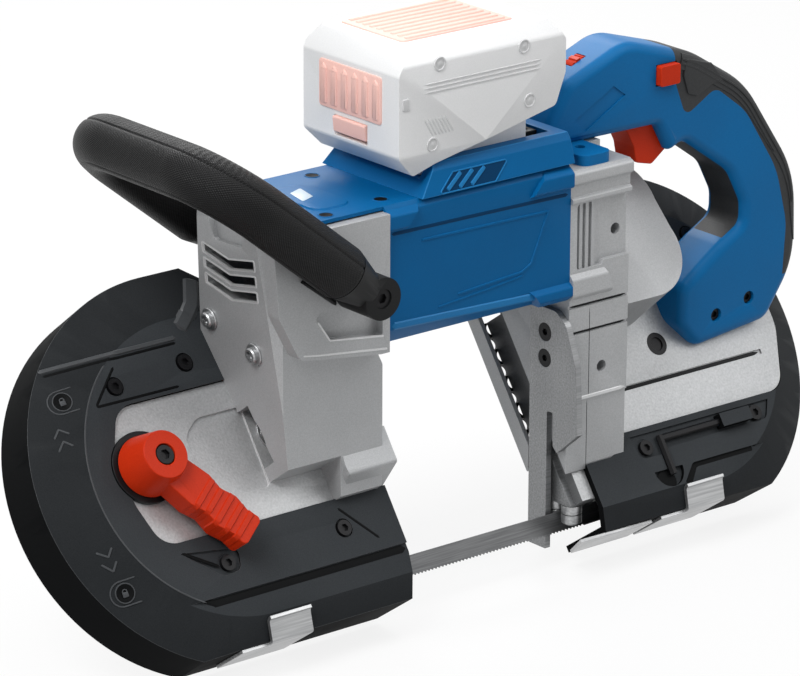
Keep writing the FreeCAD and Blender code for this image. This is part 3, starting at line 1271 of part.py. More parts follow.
def housing_half():
    """Near half of the motor housing with its short corner rails, drawn upright."""
    low = BODY_BOTTOM
    high = DECK_Z
    face = BODY_FACE
    corners = [(BODY_MID_Y, low), (face + 8, low, 3), (face, low + HOUSING_CHAMFER, 3), (face, high - 4, 2),
               (face + 3, high),
               (BODY_MID_Y, high)]
    upper = [(face + 1, high - 15), (BODY_FRONT, high - 13, 2), (BODY_FRONT, high - 5, 2),
             (face + 1, high - 2)]
    lower = [(face + 9, low), (BODY_FRONT + 5, low, 2), (BODY_FRONT, low + 4, 2), (BODY_FRONT, low + 9, 2),
             (face + 1, low + 12)]
    upper_gap = [(BODY_LEFT + 10.5, high - 16), (BODY_RIGHT - 31.5, high - 16), (BODY_RIGHT - 18, high),
                 (BODY_LEFT + 24, high)]
    lower_gap = [(BODY_LEFT - 1, low - 1), (BODY_RIGHT - 20, low - 1), (BODY_RIGHT - 31, low + 13),
                 (BODY_LEFT - 1, low + 13)]
    pieces = [prism(corners, "x", BODY_LEFT, BODY_RIGHT)]
    for rail, gap in ((upper, upper_gap), (lower, lower_gap)):
        pieces.append(prism(rail, "x", BODY_LEFT,
                            BODY_RIGHT).cut(prism(gap, "y", BODY_FRONT - 1, BODY_MID_Y)))
    pieces.append(prism([(DECK_PLATE_LEFT, DECK_PLATE_FRONT, 5), (BODY_LEFT + 1, DECK_PLATE_FRONT),
                         (BODY_LEFT + 1, BODY_MID_Y),
                         (DECK_PLATE_LEFT, BODY_MID_Y)], "z", high - DECK_PLATE, high))
    return joined(pieces)


def housing_chambers():
    """Hollow of the near half, kept clear of the ribs that hold the stator, drawn upright."""
    low = BODY_BOTTOM + HOUSING_SHELL
    high = DECK_Z - HOUSING_SHELL
    face = BODY_FACE + HOUSING_SHELL
    corners = [(BODY_MID_Y, low), (face + 8, low), (face, low + HOUSING_CHAMFER), (face, high),
               (BODY_MID_Y, high)]
    hollow = prism(corners, "x", BODY_LEFT + MOTOR_WALL, BODY_RIGHT - MOTOR_WALL)
    ribs = []
    for x in (STATOR_LEFT, STATOR_LEFT + STATOR_LENGTH - STATOR_RIB):
        ribs.append(box(x, x + STATOR_RIB, BODY_FRONT, BODY_MID_Y, low, high))
    return hollow.cut(ribs)


def column_block():
    """Column at the throat with its lips, fluted panel and grooves, drawn upright."""
    face = BODY_FACE
    left = COLUMN_LEFT
    right = COLUMN_RIGHT
    body = box(left, right, face, BODY_BACK, CUT_Z + 5.5, COLUMN_TOP)
    land = box(left, right, BODY_MID_Y - REAR_HALF_DEPTH, BODY_MID_Y + REAR_HALF_DEPTH, COLUMN_TOP - 1,
               DECK_Z)
    top_lip = [(face + 1, 137), (BODY_FRONT, 139.5, 2), (BODY_FRONT, 145.5, 2), (face + 1, COLUMN_TOP)]
    mid_lip = [(face + 1, 127), (BODY_FRONT + 1, 128, 0.8), (BODY_FRONT + 1, 130.5, 0.8), (face + 1, 132)]
    low_lip = [(face + 1, 70), (BODY_FRONT, 73.5, 3), (BODY_FRONT, 83.5, 3), (face + 1, 87)]
    low_end = [(right - 12.5, 69), (right + 1, 69), (right + 1, 88), (right - 19, 88)]
    lips = [prism(top_lip, "x", left, right), prism(mid_lip, "x", left, right),
            prism(low_lip, "x", left, right).cut(prism(low_end, "y", BODY_FRONT - 1, face))]
    panel = prism([(left + 5, 88, 2), (left + 23, 88), (left + 25, 90.5), (right + 1, 90.5),
                   (right + 1, 126.5), (left + 5, 126.5, 2)],
                  "y", BODY_FRONT - 2, face + COLUMN_PANEL_DEPTH)
    flutes = [box(left + x, left + x + 2.2, face + 1, face + COLUMN_PANEL_DEPTH + 1, 88,
                  126.5) for x in (7.5, 12.0, 16.5)]
    foot = box(left - 1, right + 1, face - 1, face + COLUMN_GROOVE, CUT_Z, 10)
    grooves = [box(left - 1, right + 1, face - 1, face + COLUMN_GROOVE, z, z + 2) for z in (49.8, 65.6)]
    return joined([body, land] + lips).cut([panel, foot] + grooves).fuse(flutes)


def gear_housing(neighbours):
    """Column at the throat and the gear case behind it, in one casting."""
    column = column_block()
    case = rod(PINION_CAVITY_RADIUS + DOME_WALL, motor_axis(COLUMN_RIGHT - 4), X_AXIS,
               COUNTER_X - COLUMN_RIGHT - 6)
    body = upright(column.fuse(case))
    reach = GEAR_CAVITY_RADIUS + DOME_WALL
    crown_well = Part.makeCone(reach + DOME_DRAFT, reach, DOME_TOP - PLATE_FRONT, counter_axis(PLATE_FRONT),
                               Z_AXIS)
    front_well = Part.makeCone(DOME_RADIUS + DOME_DRAFT, DOME_RADIUS, DOME_TOP - PLATE_FRONT,
                               V(DOME_X, DOME_B, PLATE_FRONT), Z_AXIS)
    link = [(COLUMN_RIGHT - 10, DOME_B - DOME_RADIUS), (DOME_X, DOME_B - DOME_RADIUS),
            (DOME_X + DOME_RADIUS, DOME_B),
            (COUNTER_X + reach, MOTOR_B), (COUNTER_X, MOTOR_B + reach), (COLUMN_RIGHT - 10, MOTOR_B + reach)]
    bridge = prism(link, "z", PLATE_FRONT, DOME_TOP)
    body = joined([body] + [tilted(shape) for shape in (crown_well, front_well, bridge)])
    well = rod(GEAR_CAVITY_RADIUS, counter_axis(PLATE_FRONT + 20), Z_AXIS,
               DOME_TOP - DOME_WALL - PLATE_FRONT - 20)
    bore = rod(COUNTER_BEARING_RADIUS, counter_axis(0), Z_AXIS, PLATE_FRONT + 30)
    pinion = rod(PINION_CAVITY_RADIUS, motor_axis(COLUMN_LEFT + MOTOR_BEARING_WIDTH + 4), X_AXIS,
                 COUNTER_X - COLUMN_LEFT - MOTOR_BEARING_WIDTH - 16)
    seat = rod(MOTOR_BEARING_RADIUS, motor_axis(0), X_AXIS, COLUMN_LEFT + MOTOR_BEARING_WIDTH + 6)
    fixings = []
    for x, z in FIXING_HOLES:
        fixings.append(rod(FIXING_HOLE_RADIUS, V(COLUMN_LEFT + x, BODY_FRONT, z), Y_AXIS, FIXING_HOLE_DEPTH))
    screws = [rod(REST_SCREW_SHANK, V(0, REST_SCREW_Y, z), X_AXIS, REST_X + 16) for z in REST_SCREW_Z]
    hollow = rod(DOME_RADIUS - DOME_WALL, V(DOME_X, DOME_B, PLATE_FRONT), Z_AXIS,
                 DOME_TOP - DOME_WALL - PLATE_FRONT)
    hollow = hollow.cut(rod(COUNTER_BEARING_RADIUS + DOME_WALL, counter_axis(0), Z_AXIS, FAR))
    core = box(COLUMN_LEFT + COLUMN_WALL, COLUMN_RIGHT - COLUMN_WALL,
               BODY_FRONT + FIXING_HOLE_DEPTH + COLUMN_WALL, BODY_BACK,
               CUT_Z, COLUMN_CORE_TOP)
    uprights = [pinion, seat, core] + fixings + screws
    body = body.cut([tilted(shape) for shape in (well, bore, hollow)] + [upright(shape) for shape in uprights])
    return body.cut(behind_plane(PLATE_FRONT)).cut(neighbours)


def battery_dock():
    """Sliding dock for the battery on top of the motor housing."""
    half = DOCK_HALF_DEPTH
    wall = half - DOCK_WALL
    lip = wall - DOCK_LIP
    lip_z = DOCK_TOP_Z - DOCK_LIP_HEIGHT
    near = [(half + DOCK_FLARE, DECK_Z), (half, DOCK_TOP_Z - 4, 2), (half - 3, DOCK_TOP_Z),
            (lip, DOCK_TOP_Z), (lip, lip_z), (wall, lip_z),
            (wall, DOCK_FLOOR_Z)]
    shape = [(BODY_MID_Y + p[0],) + tuple(p[1:]) for p in near]
    shape += [(BODY_MID_Y - p[0],) + tuple(p[1:]) for p in near[::-1]]
    body = prism(shape, "x", DOCK_LEFT, DOCK_RIGHT)
    end = box(DOCK_RIGHT - DOCK_END_WALL, DOCK_RIGHT, BODY_MID_Y - wall - 1, BODY_MID_Y + wall + 1, DECK_Z,
              DOCK_TOP_Z)
    ramp = prism([(DOCK_LEFT - 5, DECK_Z), (DOCK_LEFT, DECK_Z), (DOCK_LEFT + 14, DOCK_TOP_Z + 1),
                  (DOCK_LEFT - 5, DOCK_TOP_Z + 1)],
                 "y", -FAR / 2, FAR / 2)
    return upright(joined([body, end]).cut(ramp))


def dock_terminals():
    """Contact block at the end of the dock."""
    right = DOCK_RIGHT - DOCK_END_WALL
    body = box(right - TERMINAL_LENGTH, right, BODY_MID_Y - TERMINAL_HALF_WIDTH,
               BODY_MID_Y + TERMINAL_HALF_WIDTH,
               DOCK_FLOOR_Z, DOCK_FLOOR_Z + TERMINAL_HEIGHT)
    pitch = 2 * TERMINAL_HALF_WIDTH / TERMINAL_SLOTS
    slots = []
    for index in range(TERMINAL_SLOTS):
        y = BODY_MID_Y - TERMINAL_HALF_WIDTH + pitch * (index + 0.5)
        slots.append(box(right - TERMINAL_LENGTH - 1, right - 3, y - 1.2, y + 1.2, DOCK_FLOOR_Z + 3, FAR))
    return upright(body.cut(slots))


def battery_case():
    """Battery pack with its sliding foot."""
    z0 = DOCK_TOP_Z + PACK_GAP
    left = PACK_LEFT
    right = PACK_RIGHT
    top = PACK_TOP_Z
    side = [(left, z0 + 7, 4), (left, top - 14, 4), (left + 8, top, 4), (right - 9, top, 4),
            (right, top - 12, 4), (right, PACK_TAIL_Z + 18, 6), (right - 7, PACK_TAIL_Z, 4),
            (DOCK_LEFT + 12, z0, 2), (DOCK_LEFT - 3, z0 - 5, 3)]
    half = PACK_HALF_WIDTH
    end = [(BODY_MID_Y - half + 5, 150), (BODY_MID_Y - half, 176, 4), (BODY_MID_Y - half, top - 9, 4),
           (BODY_MID_Y - half + 8, top, 4), (BODY_MID_Y + half - 8, top, 4), (BODY_MID_Y + half, top - 9, 4),
           (BODY_MID_Y + half, 176, 4), (BODY_MID_Y + half - 5, 150)]
    body = prism(side, "y", BODY_MID_Y - half, BODY_MID_Y + half).common(prism(end, "x", left, right))
    lip = DOCK_HALF_DEPTH - DOCK_WALL - DOCK_LIP - PACK_GAP
    wide = DOCK_HALF_DEPTH - DOCK_WALL - PACK_GAP
    foot_right = DOCK_RIGHT - DOCK_END_WALL - TERMINAL_LENGTH - PACK_GAP
    floor = DOCK_FLOOR_Z + PACK_GAP
    spine = [(DOCK_LEFT + 10, floor), (foot_right, floor), (foot_right, PACK_TAIL_Z + 3),
             (DOCK_LEFT + 10, z0 + 3)]
    neck = prism(spine, "y", BODY_MID_Y - lip, BODY_MID_Y + lip)
    tongue = box(DOCK_LEFT + 12, foot_right, BODY_MID_Y - wide, BODY_MID_Y + wide, floor,
                 DOCK_TOP_Z - DOCK_LIP_HEIGHT - PACK_GAP)
    gap = CONTROL_GAP
    pocket = box(left - 10, left + LATCH_DEPTH + LATCH_TRAVEL + 1, BODY_MID_Y - LATCH_HALF_WIDTH - gap,
                 BODY_MID_Y + LATCH_HALF_WIDTH + gap, LATCH_BOTTOM - gap, LATCH_TOP + gap)
    return upright(joined([body, neck, tongue]).cut(pocket))


def battery_panels():
    """Ribbed end panel and top panel of the battery."""
    half = PACK_PANEL_HALF_WIDTH
    left = PACK_LEFT
    end = box(left - PACK_PANEL, left, BODY_MID_Y - half, BODY_MID_Y + half, LATCH_TOP + 3, PACK_TOP_Z - 17)
    pitch = 2 * half / PACK_RIBS
    for index in range(1, PACK_RIBS):
        y = BODY_MID_Y - half + pitch * index
        end = end.cut(box(left - PACK_PANEL - 1, left - PACK_PANEL + 1, y - 1.5, y + 1.5, LATCH_TOP + 8,
                          PACK_TOP_Z))
    top = box(left + 14, PACK_RIGHT - 26, BODY_MID_Y - half, BODY_MID_Y + half, PACK_TOP_Z,
              PACK_TOP_Z + PACK_PANEL)
    return Part.makeCompound([upright(end), upright(top)])


def battery_latch():
    """Push button that frees the battery."""
    x0 = PACK_LEFT - LATCH_PROUD + 2
    corners = [(x0, LATCH_BOTTOM + 2, 1), (x0 + LATCH_PROUD + LATCH_DEPTH - 2, LATCH_BOTTOM),
               (x0 + LATCH_PROUD + LATCH_DEPTH - 2, LATCH_TOP), (x0 - 1, LATCH_TOP, 1)]
    return upright(prism(corners, "y", BODY_MID_Y - LATCH_HALF_WIDTH, BODY_MID_Y + LATCH_HALF_WIDTH))


def handle_tube(radius):
    """Round bar of the front handle: two arms, a cross bar and a quarter bend at each corner."""
    inner_span = HANDLE_HALF_SPAN - HANDLE_BEND
    straight = HANDLE_REACH - HANDLE_BEND
    pieces = [rod(radius, V(HANDLE_REACH, -inner_span, 0), Y_AXIS, 2 * inner_span)]
    for side in (-1, 1):
        pieces.append(rod(radius, V(0, side * HANDLE_HALF_SPAN, 0), X_AXIS, straight))
        ring_edge = Part.Circle(V(straight, side * HANDLE_HALF_SPAN, 0), X_AXIS, radius).toShape()
        pivot = V(straight, side * inner_span, 0)
        pieces.append(Part.Face(Part.Wire(ring_edge)).revolve(pivot, Z_AXIS * -side, 90))
    return joined(pieces)


def in_handle_plane(shape):
    """Place a shape drawn in the front handle's own plane."""
    turned = shape.copy()
    turned.rotate(V(0, 0, 0), Y_AXIS, -HANDLE_SLOPE)
    turned.translate(V(HANDLE_SOCKET_X, BODY_MID_Y, HANDLE_SOCKET_Z))
    return upright(turned)


def handle_outer():
    """Distance of the front handle's socket ends from the body's middle plane."""
    return HANDLE_HALF_SPAN + HANDLE_CORE_RADIUS


def front_handle_core():
    """Moulded bow of the front handle with its two bolted sockets."""
    pieces = [handle_tube(HANDLE_CORE_RADIUS)]
    for side in (-1, 1):
        start = V(ARM_START, side * HANDLE_HALF_SPAN, 0)
        pieces.append(Part.makeCone(ARM_START_RADIUS, GRIP_RADIUS - 0.5, GRIP_START - ARM_START, start,
                                    X_AXIS))
        near = side * BODY_HALF_DEPTH
        depth = handle_outer() - BODY_HALF_DEPTH
        pieces.append(rod(SOCKET_RADIUS, V(0, near, 0), Y_AXIS * side, depth))
    body = in_handle_plane(joined(pieces))
    bores = []
    for side in (-1, 1):
        far = BODY_MID_Y + side * handle_outer()
        place = V(HANDLE_SOCKET_X, far, HANDLE_SOCKET_Z)
        bores.append(upright(rod(HANDLE_BOLT_RADIUS + SCREW_PLAY, place, Y_AXIS * -side, HANDLE_BOLT_HEAD)))
    slab = upright(box(-FAR, FAR, BODY_FRONT, BODY_BACK, -FAR, HANDLE_SOCKET_Z + 30))
    return body.cut(bores + [slab])


def front_handle_grip():
    """Rubber sleeve over the front handle."""
    sleeve = handle_tube(GRIP_RADIUS).cut(handle_tube(HANDLE_CORE_RADIUS))
    return in_handle_plane(sleeve.cut(box(-FAR, GRIP_START, -FAR, FAR, -FAR, FAR)))


def handle_bolts():
    """Socket bolts of the front handle, one at each end."""
    pieces = []
    for side in (-1, 1):
        far = BODY_MID_Y + side * (handle_outer() - 1)
        place = V(HANDLE_SOCKET_X, far, HANDLE_SOCKET_Z)
        head = rod(HANDLE_BOLT_RADIUS, place, Y_AXIS * -side, HANDLE_BOLT_HEAD - 1)
        low, high = sorted((far - side * 2.0, far + side))
        socket = prism(moved(hexagon(5.0), HANDLE_SOCKET_X, HANDLE_SOCKET_Z), "y", low, high)
        pieces.append(upright(head.cut(socket)))
    return Part.makeCompound(pieces)


def rear_handle_corners():
    """Outline of the rear handle seen from the side, nose first."""
    grip = [(-78.7, 188, 12), (-34.7, 205, 28), (16.3, 190, 70), (59.3, 164, 70), (100.3, 104, 70),
            (102.3, 48, 50), (80, 16, 12), (24, 10, 10), (11, 26, 10), (11, 49, 10), (40, 69, 14), (58.3, 79, 8),
            (58.3, 92, 14), (47.3, 113, 22), (11.3, 138, 8), (0.3, 133, 3), (-9.7, DECK_Z - 0.5, 4)]
    nose = [(DOCK_RIGHT, DECK_Z), (DOCK_RIGHT + 4, 165, 10)]
    return nose + moved(grip, AXLE_SPACING, 0) + [(COLUMN_RIGHT + 3, DECK_Z)]


def rear_handle_solid(plate_cut):
    """Whole rear handle before it is split into shells and rubber."""
    y0 = BODY_MID_Y - REAR_HALF_DEPTH
    y1 = BODY_MID_Y + REAR_HALF_DEPTH
    body = prism(rear_handle_corners(), "y", y0, y1)
    rims = []
    for edge in body.Edges:
        span = edge.BoundBox
        if span.YLength < 1e-6 and span.XMin > DOCK_RIGHT + 6 and span.ZMin > 0:
            rims.append(edge)
    body = body.makeFillet(REAR_ROUND, rims)
    hollow = [(33, 158), (53, 148, 10), (86, 104, 40), (90, 50, 40), (76, 26), (34, 22), (28, 44, 8),
              (66, 68, 12), (68, 92, 18), (56, 121, 20), (33, 140)]
    panel = [(-45.1, 180.8), (-36, 174.1), (-65.7, 157.9), (-74, 165.7)]
    cuts = [prism(moved(hollow, AXLE_SPACING, 0), "y", y0 + REAR_WALL, y1 - REAR_WALL),
            prism(moved(panel, AXLE_SPACING, 0), "y", y0 - 1, y0 + REAR_PANEL_DEPTH)]
    for x, z in REAR_SCREWS:
        cuts.append(rod(REAR_SCREW_RADIUS, V(AXLE_SPACING + x, y0, z), Y_AXIS, REAR_SCREW_DEPTH))
    ear = rear_ear()
    body = joined([body.cut(cuts), ear, mirrored_y(ear)])
    return upright(body).cut(plate_cut)


def rear_ear():
    """Screw ear that ties the rear handle to the column's top, drawn upright."""
    left = COLUMN_LEFT + EAR_LEFT
    right = COLUMN_LEFT + EAR_RIGHT
    front = BODY_FACE + 1
    edge = BODY_MID_Y - REAR_HALF_DEPTH
    slab = prism([(left, front, 6), (right, front, 6), (right, edge), (left, edge)], "z", COLUMN_TOP,
                 DECK_Z + EAR_RISE)
    body = slab.fuse(box(left, right, edge, edge + REAR_ROUND + 2, DECK_Z, DECK_Z + EAR_RISE))
    return body.cut(rod(EAR_HOLE_RADIUS, V(COLUMN_LEFT + EAR_HOLE_X, EAR_HOLE_Y, 0), Z_AXIS, FAR))


def rear_rubber_zone():
    """Regions of the rear handle that are moulded in rubber."""
    y0 = BODY_MID_Y - FAR / 2
    y1 = BODY_MID_Y + FAR / 2
    back = [(1.3, 260), (1.3, 176, 4), (10.3, 153, 5), (33.3, 166, 8), (57.3, 148, 40), (83.3, 108, 60),
            (92.3, 74, 40), (90.3, 42),
            (141.3, 42), (141.3, 260)]
    palm = [(17.3, 139), (29.3, 131, 10), (52.3, 116, 20), (63.3, 90, 18), (63.3, 72), (31.3, 72),
            (31.3, 100), (1.3, 120)]
    back = moved(back, AXLE_SPACING, 0)
    palm = moved(palm, AXLE_SPACING, 0)
    return [upright(prism(back, "y", y0, y1)), upright(prism(palm, "y", BODY_MID_Y - 12, BODY_MID_Y + 12))]


def trigger_corners():
    """Side view of the trigger, from its finger face to its stem."""
    corners = [(-27.7, 150), (-21.7, 139, 8), (-19.7, 129, 3), (-7.7, 126, 3), (3.3, 134, 2), (-6.7, 153),
               (-0.7, 162), (-12.7, 168)]
    return moved(corners, AXLE_SPACING, 0)


def trigger_axis():
    """Direction in which the trigger is squeezed."""
    angle = math.radians(TRIGGER_SLOPE)
    return V(math.cos(angle), 0, math.sin(angle))


def trigger():
    """Sliding trigger under the rear handle."""
    half = TRIGGER_HALF_WIDTH
    return upright(prism(trigger_corners(), "y", BODY_MID_Y - half, BODY_MID_Y + half))


def trigger_pocket():
    """Space that the trigger needs over its whole travel."""
    half = TRIGGER_HALF_WIDTH + TRIGGER_GAP
    around = moved_out(trigger_corners(), TRIGGER_GAP)
    shapes = []
    for step in range(5):
        shift = trigger_axis() * (TRIGGER_TRAVEL * 1.05 * step / 4)
        corners = [(p[0] + shift.x, p[1] + shift.z) for p in around]
        shapes.append(prism(corners, "y", BODY_MID_Y - half, BODY_MID_Y + half))
    return upright(joined(shapes))


def moved_out(corners, gap):
    """Corners pushed away from their middle by about the gap."""
    u = sum(p[0] for p in corners) / len(corners)
    v = sum(p[1] for p in corners) / len(corners)
    out = []
    for p in corners:
        reach = math.hypot(p[0] - u, p[1] - v)
        scale = 1 + 1.6 * gap / reach
        out.append((u + (p[0] - u) * scale, v + (p[1] - v) * scale))
    return out


def lock_button():
    """Lock-off button that slides across the handle."""
    half = REAR_HALF_DEPTH + LOCK_PROUD
    body = prism(rectangle(LOCK_X, LOCK_X + LOCK_LENGTH, LOCK_Z - LOCK_HEIGHT, LOCK_Z, 1.5), "y",
                 BODY_MID_Y - half, BODY_MID_Y + half)
    return upright(body)


def lock_pocket():
    """Clear way for the lock-off button."""
    g = CONTROL_GAP
    return upright(box(LOCK_X - g, LOCK_X + LOCK_LENGTH + g, BODY_MID_Y - FAR / 2, BODY_MID_Y + FAR / 2,
                       LOCK_Z - LOCK_HEIGHT - g, LOCK_Z + g))


def speed_dial():
    """Ridged thumb wheel for the blade speed."""
    place = V(DIAL_X, BODY_MID_Y - DIAL_HALF_WIDTH, DIAL_Z)
    body = rod(DIAL_RADIUS, place, Y_AXIS, 2 * DIAL_HALF_WIDTH)
    cuts = []
    for index in range(DIAL_GROOVES):
        angle = 2 * math.pi * index / DIAL_GROOVES
        spot = V(DIAL_X + DIAL_RADIUS * math.cos(angle), place.y - 1, DIAL_Z + DIAL_RADIUS * math.sin(angle))
        cuts.append(rod(0.9, spot, Y_AXIS, 2 * DIAL_HALF_WIDTH + 2))
    bore = rod(2.0 + RUNNING_FIT, place - Y_AXIS, Y_AXIS, 20)
    return upright(body.cut(cuts + [bore]))


def dial_pocket():
    """Slot for the speed dial, leaving its pin."""
    half = DIAL_HALF_WIDTH + CONTROL_GAP
    slot = rod(DIAL_RADIUS + CONTROL_GAP, V(DIAL_X, BODY_MID_Y - half, DIAL_Z), Y_AXIS, 2 * half)
    pin = rod(2.0, V(DIAL_X, BODY_MID_Y - half, DIAL_Z), Y_AXIS, 2 * half)
    return upright(slot.cut(pin))


def rear_handle_half(solid, side):
    """One shell of the rear handle."""
    y0, y1 = (-FAR, BODY_MID_Y) if side == "front" else (BODY_MID_Y, FAR)
    return solid.common(upright(box(-FAR, FAR, y0, y1, -FAR, FAR)))


def switch_module():
    """Switch and control electronics behind the trigger."""
    return upright(switch_box(0))


def switch_box(gap):
    """Block of the switch module, drawn upright, grown by a gap."""
    left = AXLE_SPACING + SWITCH_LEFT
    return box(left - gap, left + SWITCH_LENGTH + gap, BODY_MID_Y - 9 - gap, BODY_MID_Y + 9 + gap, 155 - gap,
               172 + gap)


def hex_key():
    """Bent hex key stored on the drive cover."""
    a = key_level()
    long_leg = prism(moved(hexagon(2 * KEY_RADIUS), KEY_B, a), "x", KEY_X, KEY_X + KEY_LONG)
    short_leg = prism(moved(hexagon(2 * KEY_RADIUS), KEY_X, a), "y", KEY_B - KEY_SHORT, KEY_B + KEY_RADIUS)
    return tilted(joined([long_leg, short_leg]))


def build():
    """All pieces of the saw by name."""
    idler_side = wheel_cover("idler")
    drive_side = wheel_cover("drive")
    bridge = frame_bridge()
    rear = rear_handle_solid([behind_plane(PLATE_FRONT), drive_side])
    rear = rear.cut([trigger_pocket(), lock_pocket(), dial_pocket(), upright(switch_box(0))])
    rubber = [rear.common(zone) for zone in rear_rubber_zone()]
    shells = rear.cut(rear_rubber_zone())
    pieces = {
        "idler_cover": idler_side,
        "drive_cover": drive_side,
        "cover_screws": cover_screws(),
        "idler_frame": idler_frame(),
        "drive_frame": drive_frame(),
        "frame_bridge": bridge,
        "front_casting": front_casting(idler_side),
        "gear_housing": gear_housing([drive_side, bridge]),
        "motor_housing_front": motor_housing("front"),
        "motor_housing_back": motor_housing("back"),
        "stator": stator(),
        "rotor_core": rotor_core(),
        "motor_shaft": motor_shaft(),
        "cooling_fan": cooling_fan(),
        "ball_bearings": ball_bearings(),
        "countershaft": countershaft(),
        "crown_gear": crown_gear(),
        "drive_gear": drive_gear(),
        "drive_axle": drive_axle(),
        "axle_plug": axle_plug(),
        "drive_wheel": drive_wheel(),
        "drive_tyre": tyre(AXLE_SPACING),
        "idler_wheel": idler_wheel(),
        "idler_tyre": tyre(0),
        "tension_slide": tension_slide(),
        "tension_cam": tension_cam(),
        "tension_lever": tension_lever(),
        "lever_screw": lever_screw(),
        "lever_seat": lever_seat(),
        "tracking_nut": tracking_nut(),
        "blade": blade(),
        "guide_brackets": Part.makeCompound([guide_bracket("idler"), guide_bracket("drive")]),
        "work_rest": work_rest(),
        "work_rest_screws": work_rest_screws(),
        "throat_bar": throat_bar(),
        "throat_guard": throat_guard(),
        "guard_plate": guard_plate(),
        "hook_feet": hook_feet(),
        "battery_dock": battery_dock(),
        "dock_terminals": dock_terminals(),
        "battery_case": battery_case(),
        "battery_panels": battery_panels(),
        "battery_latch": battery_latch(),
        "front_handle_core": front_handle_core(),
        "front_handle_grip": front_handle_grip(),
        "handle_bolts": handle_bolts(),
        "rear_handle_front": rear_handle_half(shells, "front"),
        "rear_handle_back": rear_handle_half(shells, "back"),
        "rear_grip": Part.makeCompound(rubber),
        "trigger": trigger(),
        "lock_button": lock_button(),
        "speed_dial": speed_dial(),
        "switch_module": switch_module(),
        "hex_key": hex_key(),
    }
    for side in ("idler", "drive"):
        for face, word in ((-1, "near"), (1, "far")):
            pieces[side + "_" + word + "_rollers"] = side_rollers(side, face)
        pieces[side + "_thrust_roller"] = thrust_roller(side)
    return pieces


def main():
    """Build every piece and write it to its own file."""
    os.makedirs("parts", exist_ok=True)
    for name, shape in build().items():
        if not shape.isValid() or not shape.Solids:
            raise ValueError(name + " is not a valid solid")
        shape.exportStep("parts/" + name + ".step")
        print(name, len(shape.Solids), round(shape.Volume / 1000, 2))


main()
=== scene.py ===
"""Looks of a portable band saw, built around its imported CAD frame.

Places are given in millimetres from the idler axle, in two sets of directions: the wheel
plane (x along the blade, b up across the plane, a out of its front) and the upright body
(x, y, z). One class turns both into the frame's metres.
"""

import json
import logging
import math
from dataclasses import dataclass
from enum import Enum, IntEnum

import bmesh
import bpy
import numpy as np
from mathutils import Matrix, Vector

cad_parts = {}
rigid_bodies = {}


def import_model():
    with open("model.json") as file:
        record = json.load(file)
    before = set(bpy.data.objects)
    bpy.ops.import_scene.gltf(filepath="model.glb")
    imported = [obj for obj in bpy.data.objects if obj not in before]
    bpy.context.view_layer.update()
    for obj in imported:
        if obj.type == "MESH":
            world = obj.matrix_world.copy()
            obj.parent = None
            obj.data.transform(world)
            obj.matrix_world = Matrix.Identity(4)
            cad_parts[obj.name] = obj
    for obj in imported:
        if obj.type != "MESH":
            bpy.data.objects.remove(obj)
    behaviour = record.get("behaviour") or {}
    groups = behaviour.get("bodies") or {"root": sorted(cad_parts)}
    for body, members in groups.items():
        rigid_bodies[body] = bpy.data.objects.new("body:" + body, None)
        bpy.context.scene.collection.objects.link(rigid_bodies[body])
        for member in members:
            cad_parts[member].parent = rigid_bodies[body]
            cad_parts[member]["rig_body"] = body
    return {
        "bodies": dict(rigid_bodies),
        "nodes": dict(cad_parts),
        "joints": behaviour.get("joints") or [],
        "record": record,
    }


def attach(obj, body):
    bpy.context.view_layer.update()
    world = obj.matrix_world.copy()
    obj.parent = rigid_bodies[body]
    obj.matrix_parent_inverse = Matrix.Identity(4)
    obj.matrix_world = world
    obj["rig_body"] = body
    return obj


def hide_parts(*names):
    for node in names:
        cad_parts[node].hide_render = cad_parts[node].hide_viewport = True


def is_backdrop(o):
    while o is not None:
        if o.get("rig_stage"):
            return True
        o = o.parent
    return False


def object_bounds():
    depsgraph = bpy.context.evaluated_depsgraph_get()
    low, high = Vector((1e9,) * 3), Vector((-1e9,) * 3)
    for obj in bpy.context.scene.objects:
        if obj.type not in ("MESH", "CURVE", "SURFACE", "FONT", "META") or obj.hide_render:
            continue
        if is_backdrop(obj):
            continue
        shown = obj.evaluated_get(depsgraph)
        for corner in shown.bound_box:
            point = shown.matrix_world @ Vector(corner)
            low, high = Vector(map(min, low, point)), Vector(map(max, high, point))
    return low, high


LOG = logging.getLogger("band_saw")
MM = 0.001
IDLER_JOINT = "idler_wheel_spin"
X_WAY, Y_WAY, Z_WAY = np.eye(3)
SHARP = math.radians(32)
WHITE = (1.0, 1.0, 1.0, 1.0)

Spot = tuple[float, float]
Spots = tuple[Spot, ...]
Paths = tuple[Spots, ...]
Colour = tuple[float, float, float]
Socket = bpy.types.NodeSocket
Sockets = bpy.types.bpy_prop_collection
Inputs = dict[str | int, object]


class Corner(Enum):
    """How far a dressed piece's edges are rounded, in millimetres."""

    CRISP = 0.25
    FINE = 0.45
    SOFT = 0.7
    ROUND = 1.2


class Body(Enum):
    """Bodies of the CAD frame that new pieces ride on."""

    FRAME = "frame"
    BATTERY = "battery"
    LEVER = "tension_lever"


class Layer(IntEnum):
    """Places of a dressed node's finishes: its faces, its rounded edges in a painted highlight, and its sides
    and slopes in painted shade.
    """

    FACE = 0
    EDGE = 1
    SIDE = 2
    SLOPE_SHADE = 3


@dataclass(frozen=True)
class Ridge:
    """Sizes of a low ridge in millimetres: half its width, its height and the steps along it."""

    half: float
    height: float
    step: float = 1.5


